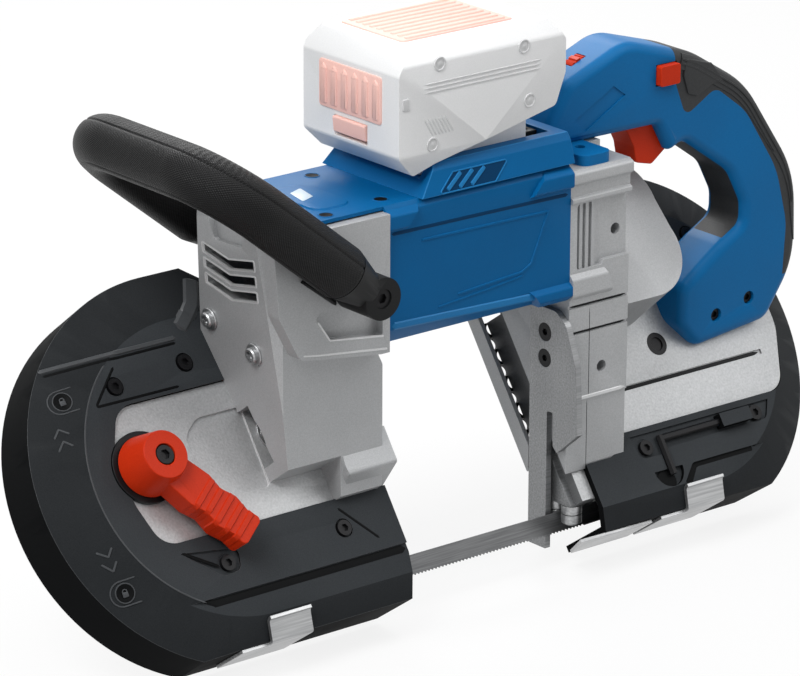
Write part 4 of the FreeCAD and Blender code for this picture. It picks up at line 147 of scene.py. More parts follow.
@dataclass(frozen=True)
class Plane:
    """A flat place on the saw: an origin and two directions along it, in the frame's metres."""

    origin: np.ndarray
    along: np.ndarray
    up: np.ndarray

    @property
    def out(self) -> np.ndarray:
        """Direction that leaves the plane."""
        return np.cross(self.along, self.up)

    def place(self, flat: np.ndarray, height: float = 0.0) -> np.ndarray:
        """Turn places on the plane into frame metres.

        Args:
            flat: Array whose last axis holds u and v in millimetres.
            height: Height over the plane in millimetres.

        Returns:
            Array of the same shape with three coordinates.
        """
        spots = np.asarray(flat, float)
        across = spots[..., :1] * self.along + spots[..., 1:2] * self.up
        return self.origin + MM * (across + height * self.out)


@dataclass(frozen=True)
class Lean:
    """Places in the wheel plane and in the upright body, as metres of the frame."""

    idler: np.ndarray
    axis: np.ndarray

    @property
    def across(self) -> np.ndarray:
        """Direction b: up across the wheel plane."""
        return np.cross(self.axis, X_WAY)

    def tilted(self, points: np.ndarray) -> np.ndarray:
        """Turn (x, b, a) in millimetres into metres of the frame."""
        ways = np.stack((X_WAY, self.across, self.axis))
        return self.idler + np.asarray(points, float) @ ways * MM

    def upright(self, points: np.ndarray) -> np.ndarray:
        """Turn (x, y, z) in millimetres into metres of the frame."""
        return self.idler + np.asarray(points, float) * MM

    def front(self, y: float) -> Plane:
        """Upright plane seen from the front: u is x, v is z."""
        return Plane(self.upright((0.0, y, 0.0)), X_WAY, Z_WAY)

    def left(self, x: float) -> Plane:
        """Upright plane seen from the idler end: u is minus y, v is z."""
        return Plane(self.upright((x, 0.0, 0.0)), -Y_WAY, Z_WAY)

    def top(self, z: float) -> Plane:
        """Level plane seen from above: u is x, v is y."""
        return Plane(self.upright((0.0, 0.0, z)), X_WAY, Y_WAY)

    def sides(self, front_y: float, rear_y: float) -> tuple[tuple[Plane, int], ...]:
        """Front and rear planes, each with the sense in which its u runs along x."""
        rear = Plane(self.upright((0.0, rear_y, 0.0)), -X_WAY, Z_WAY)
        return (self.front(front_y), 1), (rear, -1)


def unit(vectors: np.ndarray) -> np.ndarray:
    """Vectors of length one along the last axis."""
    return vectors / np.linalg.norm(vectors, axis=-1, keepdims=True)


def oblong(left: float, low: float, right: float, high: float) -> Spots:
    """Corners of an upright rectangle, counter-clockwise."""
    return (left, low), (right, low), (right, high), (left, high)


def rounded(corners: Spots, radius: float, steps: int = 5, most: float = 0.45) -> np.ndarray:
    """Closed outline whose corners are arcs.

    A corner's tangent points lie radius / tan(half angle) along its two edges, and the arc between
    them is the turning blend of the two radii, sin((1-s)w) start + sin(s w) end, over sin(w).

    Args:
        corners: The polygon's corners, in counter-clockwise order.
        radius: Radius of every corner, cut down where an edge is too short.
        steps: Points along each arc.
        most: Largest share of an edge that one corner may take.

    Returns:
        Array of (u, v) places.
    """
    tips = np.asarray(corners, float)
    back = np.roll(tips, 1, axis=0) - tips
    onward = np.roll(tips, -1, axis=0) - tips
    shorter = np.minimum(np.linalg.norm(back, axis=1), np.linalg.norm(onward, axis=1))[:, None]
    back = unit(back)
    onward = unit(onward)
    half = 0.5 * np.arccos(np.clip((back * onward).sum(1, keepdims=True), -1.0, 1.0))
    reach = np.minimum(radius / np.tan(half), most * shorter)
    middle = tips + unit(back + onward) * reach / np.cos(half)
    start = (tips + back * reach - middle)[:, None]
    end = (tips + onward * reach - middle)[:, None]
    share = np.linspace(0.0, 1.0, steps)[None, :, None]
    sweep = (math.pi - 2 * half)[:, None]
    bend = (np.sin((1 - share) * sweep) * start + np.sin(share * sweep) * end) / np.sin(sweep)
    return (middle[:, None] + bend).reshape(-1, 2)


def arc(radius: float, first: float, last: float, count: int) -> np.ndarray:
    """Open arc about the origin: (r cos t, r sin t) for t from one angle in degrees to another."""
    turn = np.radians(np.linspace(first, last, count))
    return radius * np.stack((np.cos(turn), np.sin(turn)), axis=1)


def circle(u: float, v: float, radius: float, sides: int = 28) -> np.ndarray:
    """Closed round outline: (u + r cos t, v + r sin t) for one whole turn of t."""
    return arc(radius, 0.0, 360.0, sides + 1)[:-1] + (u, v)


def inset(outline: np.ndarray, distance: float) -> np.ndarray:
    """Closed outline moved inwards along the mitre of each point's two edge normals.

    Args:
        outline: Counter-clockwise (u, v) places.
        distance: How far to move; outwards where it is negative.

    Returns:
        The moved outline.
    """
    edge = unit(np.roll(outline, -1, axis=0) - outline)
    normal = np.stack((-edge[:, 1], edge[:, 0]), axis=1)
    before = np.roll(normal, 1, axis=0)
    return outline + distance * (normal + before) / (1.0 + (normal * before).sum(1, keepdims=True))


def resampled(path: Spots, step: float) -> np.ndarray:
    """Open path cut into even steps of its length.

    Args:
        path: Its corner points.
        step: Length of a step.

    Returns:
        Array of points from the first corner to the last.
    """
    tips = np.asarray(path, float)
    length = np.concatenate(((0.0,), np.cumsum(np.linalg.norm(np.diff(tips, axis=0), axis=1))))
    marks = np.linspace(0.0, length[-1], max(3, int(length[-1] / step) + 1))
    return np.stack([np.interp(marks, length, column) for column in tips.T], axis=1)


class Stock:
    """Points and faces of one piece, gathered from several surfaces."""

    BEAD = np.array(((-1.0, -0.4), (-0.6, 1.0), (0.6, 1.0), (1.0, -0.4)))
    TIP = 0.05
    TIP_SINK = 0.3

    def __init__(self) -> None:
        """Start empty."""
        self.points: list[np.ndarray] = []
        self.faces: list[list[int]] = []
        self.count = 0

    def add(self, grid: np.ndarray, wrap: bool = False, start_cap: bool = False,
            end_cap: bool = False) -> None:
        """Add a surface given as a grid of points.

        Args:
            grid: Array of rows, columns and three coordinates.
            wrap: Whether the last column meets the first.
            start_cap: Whether one face closes the first row.
            end_cap: Whether one face closes the last row.
        """
        rows, columns = grid.shape[:2]
        index = np.arange(rows * columns).reshape(rows, columns) + self.count
        left = index if wrap else index[:, :-1]
        right = np.roll(index, -1, axis=1) if wrap else index[:, 1:]
        quads = np.stack((left[:-1], right[:-1], right[1:], left[1:]), axis=-1)
        self.faces.extend(quads.reshape(-1, 4).tolist())
        if start_cap:
            self.faces.append(index[0, ::-1].tolist())
        if end_cap:
            self.faces.append(index[-1].tolist())
        self.points.append(grid.reshape(-1, 3))
        self.count += rows * columns

    def relief(self, plane: Plane, outline: np.ndarray, profile: Spots, cap: bool = True) -> None:
        """Add a raised or sunk form: the outline, moved inwards and lifted at each step of a profile.

        Args:
            plane: What carries it.
            outline: Its counter-clockwise outline in millimetres.
            profile: Pairs of inset and height, from its foot to its middle.
            cap: Whether the last ring is closed.
        """
        rings = np.stack([plane.place(inset(outline, step), height) for step, height in profile])
        self.add(rings, wrap=True, end_cap=cap)

    def bead(self, points: np.ndarray, out: np.ndarray, ridge: Ridge) -> None:
        """Add a low ridge: a flat-topped profile carried along a path, shrunk to a tip at both ends.

        Args:
            points: The path on the surface, in frame metres.
            out: The surface's outward direction, one or one for each point.
            ridge: The ridge's sizes.
        """
        outward = np.broadcast_to(out, points.shape)
        side = unit(np.cross(np.gradient(points, axis=0), outward))
        size = np.ones((len(points), 1, 1))
        size[[0, -1]] = self.TIP
        reach = self.BEAD[None, :, :1] * ridge.half * size
        lift = (self.BEAD[None, :, 1:] * size - self.TIP_SINK * (1.0 - size)) * ridge.height
        self.add(points[:, None] + MM * (side[:, None] * reach + outward[:, None] * lift))

    def line(self, plane: Plane, path: Spots, ridge: Ridge, sense: int = 1) -> None:
        """Add a low ridge along corners on a plane.

        Args:
            plane: What carries it.
            path: Its corner points.
            ridge: Its sizes.
            sense: Minus one where the plane's u runs against x.
        """
        self.bead(plane.place(resampled(path, ridge.step) * (sense, 1)), plane.out, ridge)


class Nodes:
    """Small helper that adds and links shader nodes in one tree."""

    def __init__(self, tree: bpy.types.NodeTree) -> None:
        """Keep the tree to work on."""
        self.tree = tree

    def feed(self, node: bpy.types.Node, inputs: Inputs) -> None:
        """Link or set a node's inputs.

        Args:
            node: The node.
            inputs: A socket or a plain value for each input's name or number.
        """
        for key, value in inputs.items():
            if isinstance(value, Socket):
                self.tree.links.new(value, node.inputs[key])
            else:
                node.inputs[key].default_value = value

    def add(self, kind: str, inputs: Inputs | None = None, **settings: object) -> bpy.types.Node:
        """Add a node.

        Args:
            kind: Its Blender type name.
            inputs: What its inputs get.
            **settings: Properties to set on it.

        Returns:
            The new node.
        """
        node = self.tree.nodes.new(kind)
        for key, value in settings.items():
            setattr(node, key, value)
        self.feed(node, inputs or {})
        return node

    def sum(self, kind: str, *values: object) -> Socket:
        """Result of a new Math node of a kind, fed with sockets or numbers."""
        return self.add("ShaderNodeMath", dict(enumerate(values)), operation=kind).outputs[0]


class Pattern(Enum):
    """Which shared effect a finish uses, by its node group's name."""

    GRAIN = "surface_grain"
    BRUSHED = "drawn_steel"
    KNURL = "diamond_knurl"


class Effects:
    """Shader node groups that several finishes share, each built once."""

    PEBBLE_DETAIL = 2.5
    STREAK_DETAIL = 3.0
    DRIFT_DETAIL = 4.0
    STREAK_STRETCH = (0.03, 1.0, 1.0)
    EVEN = 0.5

    def __init__(self) -> None:
        """Build every group."""
        self.made = {pattern: self._group(pattern) for pattern in Pattern}

    def _group(self, pattern: Pattern) -> bpy.types.NodeTree:
        """Build a group with Scale and Drift inputs and Height, Shade and Gloss outputs.

        Args:
            pattern: What it draws.

        Returns:
            The group.
        """
        group = bpy.data.node_groups.new(pattern.value, "ShaderNodeTree")
        for way, keys in (("INPUT", ("Scale", "Drift")), ("OUTPUT", ("Height", "Shade", "Gloss"))):
            for key in keys:
                group.interface.new_socket(key, in_out=way, socket_type="NodeSocketFloat")
        kit = Nodes(group)
        given = kit.add("NodeGroupInput").outputs
        spots = kit.add("ShaderNodeTexCoord").outputs
        drift = self._noise(kit, spots["Object"], given["Drift"], self.DRIFT_DETAIL)
        height = shade = self._height(kit, pattern, spots, given["Scale"])
        if pattern is Pattern.GRAIN:
            shade = kit.sum("ADD", *(kit.sum("MULTIPLY", value, self.EVEN) for value in (height, drift)))
        kit.add("NodeGroupOutput", {"Height": height, "Shade": shade, "Gloss": drift})
        return group

    def _height(self, kit: Nodes, pattern: Pattern, spots: Sockets, scale: Socket) -> Socket:
        """Height of a pattern.

        Grain is fine noise, brushed steel is noise drawn out along x, and a knurl is the product of two
        crossing sine ridges on the piece's own map.

        Args:
            kit: The group's helper.
            pattern: What it draws.
            spots: Coordinates of the surface.
            scale: The pattern's scale.

        Returns:
            The height's socket.
        """
        if pattern is Pattern.GRAIN:
            return self._noise(kit, spots["Object"], scale, self.PEBBLE_DETAIL)
        if pattern is Pattern.BRUSHED:
            drawn = kit.add("ShaderNodeMapping", {"Vector": spots["Object"], "Scale": self.STREAK_STRETCH})
            return self._noise(kit, drawn.outputs[0], scale, self.STREAK_DETAIL)
        parts = kit.add("ShaderNodeSeparateXYZ", {0: spots["UV"]}).outputs
        ridges = []
        for kind in ("ADD", "SUBTRACT"):
            slant = kit.sum(kind, parts["X"], parts["Y"])
            ridges.append(kit.sum("ABSOLUTE", kit.sum("SINE", kit.sum("MULTIPLY", slant, scale))))
        return kit.sum("MULTIPLY", *ridges)

    def _noise(self, kit: Nodes, vector: Socket, scale: Socket, detail: float) -> Socket:
        """Value of a new noise texture, read at a vector with a scale and a detail."""
        inputs = {"Vector": vector, "Scale": scale, "Detail": detail}
        return kit.add("ShaderNodeTexNoise", inputs, noise_dimensions="3D").outputs["Fac"]


@dataclass(frozen=True)
class Finish:
    """One surface finish, from which a material is made."""

    name: str
    dark: Colour
    light: Colour
    gloss_low: float
    gloss_high: float
    metallic: float = 0.0
    specular: float = 0.5
    scale: float = 1500.0
    drift: float = 14.0
    depth: float = 0.05
    pattern: Pattern = Pattern.GRAIN
    band: Spot = (0.3, 0.7)
    bump: float = 0.45

    def build(self, effects: Effects) -> bpy.types.Material:
        """Make the material.

        Args:
            effects: The shared node groups.

        Returns:
            A new material.
        """
        material = bpy.data.materials.new(self.name)
        material.use_nodes = True
        kit = Nodes(material.node_tree)
        surface = kit.add("ShaderNodeGroup", {"Scale": self.scale, "Drift": self.drift},
                          node_tree=effects.made[self.pattern]).outputs
        colour = kit.add("ShaderNodeValToRGB", {"Fac": surface["Shade"]})
        for stop, place, value in zip(colour.color_ramp.elements, self.band, (self.dark, self.light)):
            stop.position = place
            stop.color = (*value, 1.0)
        gloss = kit.add("ShaderNodeMapRange", {"Value": surface["Gloss"], "From Min": self.band[0],
                                               "From Max": self.band[1], "To Min": self.gloss_low,
                                               "To Max": self.gloss_high})
        bump = kit.add("ShaderNodeBump", {"Height": surface["Height"], "Strength": self.bump,
                                          "Distance": self.depth * MM})
        kit.feed(material.node_tree.nodes["Principled BSDF"],
                 {"Metallic": self.metallic, "Specular IOR Level": self.specular,
                  "Base Color": colour.outputs["Color"], "Roughness": gloss.outputs["Result"],
                  "Normal": bump.outputs["Normal"]})
        return material


class Palette:
    """Every finish of the saw as a material, by plain name."""

    COVER = {"specular": 0.06, "depth": 0.14}
    CAST = {"metallic": 0.28, "scale": 1300, "depth": 0.16}
    BLUE = {"scale": 1700}
    STEEL = {"drift": 30, "pattern": Pattern.BRUSHED}
    PALE = {"specular": 0.15, "depth": 0.08}
    FINISHES = (
        Finish("cover_plastic", (0.030, 0.0335, 0.037), (0.046, 0.0506, 0.055), 0.48, 0.6, **COVER),
        # The next two are darker copies of the cover plastic: painted shade on its sloped and side faces.
        Finish("cover_slope_shade", (0.015, 0.0166, 0.0182), (0.024, 0.0264, 0.0288), 0.48, 0.6, **COVER),
        Finish("cover_side_shade", (0.004, 0.0043, 0.0046), (0.007, 0.0075, 0.008), 0.5, 0.62, specular=0.01),
        # A lighter copy of the cover plastic for raised lines and rounded edges: a painted highlight.
        Finish("cover_highlight", (0.055, 0.059, 0.063), (0.075, 0.079, 0.084), 0.38, 0.5, specular=0.15),
        # Near black for wells, joints, steps and holes: painted shade.
        Finish("recess_shade", (0.003, 0.0033, 0.0036), (0.005, 0.0054, 0.0058), 0.5, 0.6, specular=0.06),
        Finish("silver_casting", (0.33, 0.337, 0.345), (0.48, 0.488, 0.496), 0.42, 0.55, **CAST),
        # A darker copy of the casting for faces turned from the light: painted shade.
        Finish("casting_side_shade", (0.11, 0.113, 0.116), (0.18, 0.184, 0.188), 0.45, 0.58, **CAST),
        # A lighter copy of the casting for rounded edges, lips and steps: a painted highlight.
        Finish("casting_highlight", (0.58, 0.585, 0.59), (0.70, 0.705, 0.71), 0.35, 0.48, 0.35, scale=1300,
               depth=0.08),
        Finish("plate_silver", (0.33, 0.337, 0.344), (0.52, 0.527, 0.534), 0.36, 0.48, 0.35, scale=800,
               depth=0.4),
        Finish("blue_plastic", (0.0008, 0.098, 0.272), (0.0014, 0.122, 0.332), 0.36, 0.48, specular=0.1,
               depth=0.08, **BLUE),
        # A lighter copy of the blue plastic for the rear handle: painted light.
        Finish("handle_blue_lit", (0.002, 0.120, 0.322), (0.003, 0.147, 0.390), 0.36, 0.48, specular=0.13,
               **BLUE),
        # A lighter copy of the blue plastic for edges, sill and bars: a painted highlight.
        Finish("blue_highlight", (0.006, 0.150, 0.380), (0.010, 0.180, 0.440), 0.34, 0.46, specular=0.2, **BLUE),
        Finish("blue_shadow", (0.0004, 0.030, 0.090), (0.0006, 0.040, 0.115), 0.4, 0.5, specular=0.08,
               **BLUE),
        Finish("black_plastic", (0.008, 0.0085, 0.009), (0.014, 0.0145, 0.015), 0.36, 0.5, specular=0.12,
               depth=0.08),
        Finish("black_rubber", (0.020, 0.0212, 0.0224), (0.036, 0.0376, 0.0392), 0.5, 0.65, specular=0.28,
               scale=900, depth=0.12),
        Finish("knurled_rubber", (0.0012, 0.0012, 0.0014), (0.010, 0.0104, 0.0108), 0.40, 0.52, specular=0.15,
               scale=2.2, depth=0.5, pattern=Pattern.KNURL),
        Finish("red_plastic", (0.50, 0.023, 0.0035), (0.62, 0.036, 0.006), 0.34, 0.44, specular=0.12,
               scale=1600, depth=0.06),
        Finish("bright_steel", (0.32, 0.325, 0.33), (0.50, 0.505, 0.51), 0.28, 0.42, 0.9, scale=900,
               depth=0.03, **STEEL),
        Finish("dull_steel", (0.20, 0.205, 0.21), (0.31, 0.315, 0.32), 0.36, 0.5, 0.85, scale=900,
               depth=0.04, **STEEL),
        Finish("blade_steel", (0.15, 0.153, 0.157), (0.24, 0.244, 0.248), 0.34, 0.46, 0.8, scale=1200,
               depth=0.03, **STEEL),
        Finish("black_oxide", (0.005, 0.005, 0.006), (0.012, 0.012, 0.013), 0.3, 0.42, 0.3, specular=0.2,
               depth=0.02),
        Finish("pale_case", (0.78, 0.785, 0.79), (0.86, 0.865, 0.87), 0.45, 0.58, **PALE),
        Finish("pale_line", (0.62, 0.625, 0.63), (0.68, 0.685, 0.69), 0.45, 0.58, **PALE),
        Finish("pale_panel", (0.92, 0.55, 0.48), (0.97, 0.63, 0.56), 0.45, 0.58, **PALE),
        Finish("bare_label", (0.50, 0.60, 0.68), (0.60, 0.69, 0.76), 0.3, 0.4, specular=0.3, depth=0.02),
        Finish("seam_shadow", (0.022, 0.023, 0.024), (0.040, 0.041, 0.042), 0.6, 0.7, specular=0.05),
        Finish("copper_winding", (0.25, 0.09, 0.03), (0.42, 0.17, 0.06), 0.35, 0.5, 0.6, depth=0.1),
    )

    def __init__(self, effects: Effects) -> None:
        """Build all materials."""
        self._made = {finish.name: finish.build(effects) for finish in self.FINISHES}

    def __getitem__(self, name: str) -> bpy.types.Material:
        """Give the material of a finish."""
        return self._made[name]


@dataclass(frozen=True)
class Coat:
    """How CAD nodes are dressed: their finish, the rounding of their edges and a lighter finish on those
    edges, a painted highlight.

    Faces that run along the wheels' axis can have a darker finish of their own, a painted shade, and so
    can faces that slope towards it. A face round an opening rounds cleanly only while its triangles stay
    apart.
    """

    finish: str
    corner: Corner = Corner.CRISP
    # edge is a lighter copy of the finish, a painted highlight; side and slope are darker copies, painted
    # shade.
    edge: str = ""
    side: str = ""
    slope: str = ""
    joined: bool = True


COATS = (
    (Coat("cover_plastic", Corner.SOFT, "cover_highlight", "cover_side_shade", "cover_slope_shade"),
     ("idler_cover", "drive_cover")),
    (Coat("plate_silver", Corner.FINE, "casting_highlight"), ("idler_frame",)),
    # The drive frame's side faces get a darker casting: painted shade.
    (Coat("plate_silver", Corner.FINE, "casting_highlight", "casting_side_shade"), ("drive_frame",)),
    (Coat("silver_casting", Corner.SOFT, "casting_highlight"),
     ("frame_bridge", "front_casting", "gear_housing", "drive_wheel", "idler_wheel")),
    (Coat("silver_casting"), ("throat_bar",)),
    (Coat("blue_plastic", Corner.SOFT, "blue_highlight"), ("motor_housing_front", "motor_housing_back")),
    (Coat("blue_plastic", Corner.FINE, "blue_highlight"), ("battery_dock",)),
    # The rear handle takes a lighter blue: painted light.
    (Coat("handle_blue_lit", Corner.FINE, "blue_highlight"), ("rear_handle_front", "rear_handle_back")),
    (Coat("copper_winding"), ("stator",)),
    (Coat("bright_steel"),
     ("motor_shaft", "ball_bearings", "countershaft", "drive_axle", "tension_cam", "tracking_nut",
      "guard_plate", "hook_feet", "idler_near_rollers", "idler_far_rollers", "idler_thrust_roller",
      "drive_near_rollers", "drive_far_rollers", "drive_thrust_roller")),
    (Coat("dull_steel"),
     ("rotor_core", "crown_gear", "drive_gear", "tension_slide", "guide_brackets", "work_rest")),
    (Coat("blade_steel"), ("blade",)),
    (Coat("black_oxide"),
     ("cover_screws", "axle_plug", "lever_screw", "work_rest_screws", "handle_bolts", "hex_key")),
    (Coat("black_oxide", Corner.FINE), ("lever_seat",)),
    (Coat("black_plastic"), ("cooling_fan", "throat_guard", "dock_terminals", "switch_module")),
    (Coat("black_plastic", Corner.SOFT), ("front_handle_core",)),
    (Coat("black_rubber", Corner.FINE), ("drive_tyre", "idler_tyre", "rear_grip")),
    (Coat("red_plastic", Corner.ROUND), ("tension_lever",)),
    (Coat("red_plastic", Corner.SOFT), ("trigger",)),
    (Coat("red_plastic", Corner.FINE), ("lock_button",)),
    (Coat("red_plastic"), ("speed_dial",)),
    (Coat("pale_case", Corner.SOFT, joined=False), ("battery_case",)),
    (Coat("pale_panel", Corner.FINE), ("battery_latch",)),
)


class Dresser:
    """Puts finishes on the saw: rounded copies of CAD nodes, and new pieces."""

    MERGE = 1e-5
    FLAT = math.radians(0.6)
    # Faces that face the axis less than these shares get darker copies of their finish as painted shade.
    SIDE = 0.35
    SLOPE_SHADE = 0.975
    ROUNDING = {"segments": 2, "limit_method": "ANGLE", "angle_limit": SHARP, "harden_normals": True,
                "use_clamp_overlap": True}

    def __init__(self, frame: dict, palette: Palette, lean: Lean) -> None:
        """Keep what dressing needs.

        Args:
            palette: The materials.
            lean: Places of the frame.
        """
        self.frame = frame
        self.palette = palette
        self.lean = lean
        self.slots = {part["node"]: part["material_slot"] for part in frame["record"]["subparts"]}

    def skin(self, node: str, coat: Coat) -> bpy.types.Object:
        """Make a rounded copy of a node that stands for it.

        Args:
            node: The CAD node's name.
            coat: Its finishes and rounding.

        Returns:
            The new object, riding on the node's body.
        """
        source = self.frame["nodes"][node]
        work = bmesh.new()
        work.from_mesh(source.data)
        bmesh.ops.remove_doubles(work, verts=work.verts, dist=self.MERGE)
        if coat.joined:
            bmesh.ops.dissolve_limit(work, angle_limit=self.FLAT, verts=work.verts, edges=work.edges)
        mesh = bpy.data.meshes.new(node + "_skin")
        work.to_mesh(mesh)
        work.free()
        skin = self._object(node + "_skin", mesh, coat.finish)
        rounding = skin.modifiers.new("rounded_edges", "BEVEL")
        rounding.width = coat.corner.value * MM
        for key, value in self.ROUNDING.items():
            setattr(rounding, key, value)
        for finish in filter(None, (coat.edge, coat.side, coat.slope)):
            mesh.materials.append(self.palette[finish])
        # The rounded edges get a lighter finish: a painted highlight.
        if coat.edge:
            rounding.material = Layer.EDGE
        # Side and slope faces get darker finishes: painted shade by how the faces turn.
        if coat.side:
            self._layers(mesh, self.SLOPE_SHADE if coat.slope else self.SIDE)
        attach(skin, source["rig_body"])
        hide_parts(node)
        return skin

    def _layers(self, mesh: bpy.types.Mesh, slope: float) -> None:
        """Give a mesh's faces their finishes by how far they face along the wheels' axis; sides and slopes
        get darker copies, painted shade.

        Args:
            mesh: The mesh.
            slope: Share of the axis below which a face is a slope, where it is no side.
        """
        normals = np.empty(3 * len(mesh.polygons), np.float32)
        mesh.polygons.foreach_get("normal", normals)
        facing = np.abs(normals.reshape(-1, 3) @ self.lean.axis)
        layers = np.select([facing < self.SIDE, facing < slope], [Layer.SIDE, Layer.SLOPE_SHADE], Layer.FACE)
        mesh.polygons.foreach_set("material_index", layers.astype(np.int32))

    def piece(self, name: str, stock: Stock, finish: str,
              body: Body = Body.FRAME) -> bpy.types.Object:
        """Make a new piece from gathered surfaces.

        Args:
            name: Its name.
            stock: Its points and faces.
            finish: Its finish.
            body: The body it rides on.

        Returns:
            The new object.
        """
        mesh = bpy.data.meshes.new(name)
        mesh.from_pydata(np.concatenate(stock.points).tolist(), [], stock.faces)
        made = self._object(name, mesh, finish)
        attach(made, body.value)
        LOG.info("made %s: %d faces", name, len(mesh.polygons))
        return made

    def _object(self, name: str, mesh: bpy.types.Mesh, finish: str) -> bpy.types.Object:
        """Link a mesh as an object with its finish and its sharp edges.

        Args:
            name: The object's name.
            mesh: Its mesh.
            finish: Its finish.

        Returns:
            The new object.
        """
        mesh.polygons.foreach_set("use_smooth", np.ones(len(mesh.polygons), bool))
        mesh.materials.append(self.palette[finish])
        mesh.set_sharp_from_angle(angle=SHARP)
        made = bpy.data.objects.new(name, mesh)
        bpy.context.scene.collection.objects.link(made)
        return made

    def dress_all(self) -> None:
        """Dress every node of the frame that keeps its own shape."""
        for coat, nodes in COATS:
            for node in nodes:
                skin = self.skin(node, coat)
                LOG.info("dressed %s: %d faces", node, len(skin.data.polygons))


@dataclass(frozen=True)
class CoverFace:
    """Front of a wheel cover: flat to a radius, then a cone down to its rim."""

    centre: float
    sense: float
    rim: float
    flat: float = 83.5
    front: float = 29.0
    shoulder: float = 18.0

    def at(self, lean: Lean, spots: np.ndarray) -> tuple[np.ndarray, np.ndarray]:
        """Places on the cover and the directions that leave it.

        The height is the front level, less the cone's fall times the distance past the flat's radius;
        that distance is radial on the wheel's outer side and straight up or down towards the other wheel.

        Args:
            lean: Places of the frame.
            spots: Array of (x, b) places.

        Returns:
            Frame points and outward directions.
        """
        x, b = spots.T
        outer = self.sense * np.maximum(self.sense * (x - self.centre), 0.0)
        radial = np.stack((outer, b), axis=1)
        reach = np.linalg.norm(radial, axis=1)
        fall = (self.front - self.shoulder) / (self.rim - self.flat)
        past = np.maximum(reach - self.flat, 0.0)
        points = lean.tilted(np.stack((x, b, self.front - fall * past), axis=1))
        turned = np.where(past > 0, fall, 0.0)[:, None] * radial / reach[:, None]
        out = turned[:, :1] * X_WAY + turned[:, 1:] * lean.across + lean.axis
        return points, unit(out)

    def seat(self, lean: Lean, spot: Spot) -> Plane:
        """Plane that touches the cover at a place.

        Args:
            lean: Places of the frame.
            spot: The place (x, b).

        Returns:
            The plane, with its v up the cover.
        """
        points, outs = self.at(lean, np.array((spot,)))
        along = unit(np.cross(lean.across, outs[0]))
        return Plane(points[0], along, np.cross(outs[0], along))

    def line(self, stock: Stock, lean: Lean, path: Spots, ridge: Ridge) -> None:
        """Add a ridge of some sizes that follows the cover along a path of (x, b) places."""
        stock.bead(*self.at(lean, resampled(path, ridge.step)), ridge)


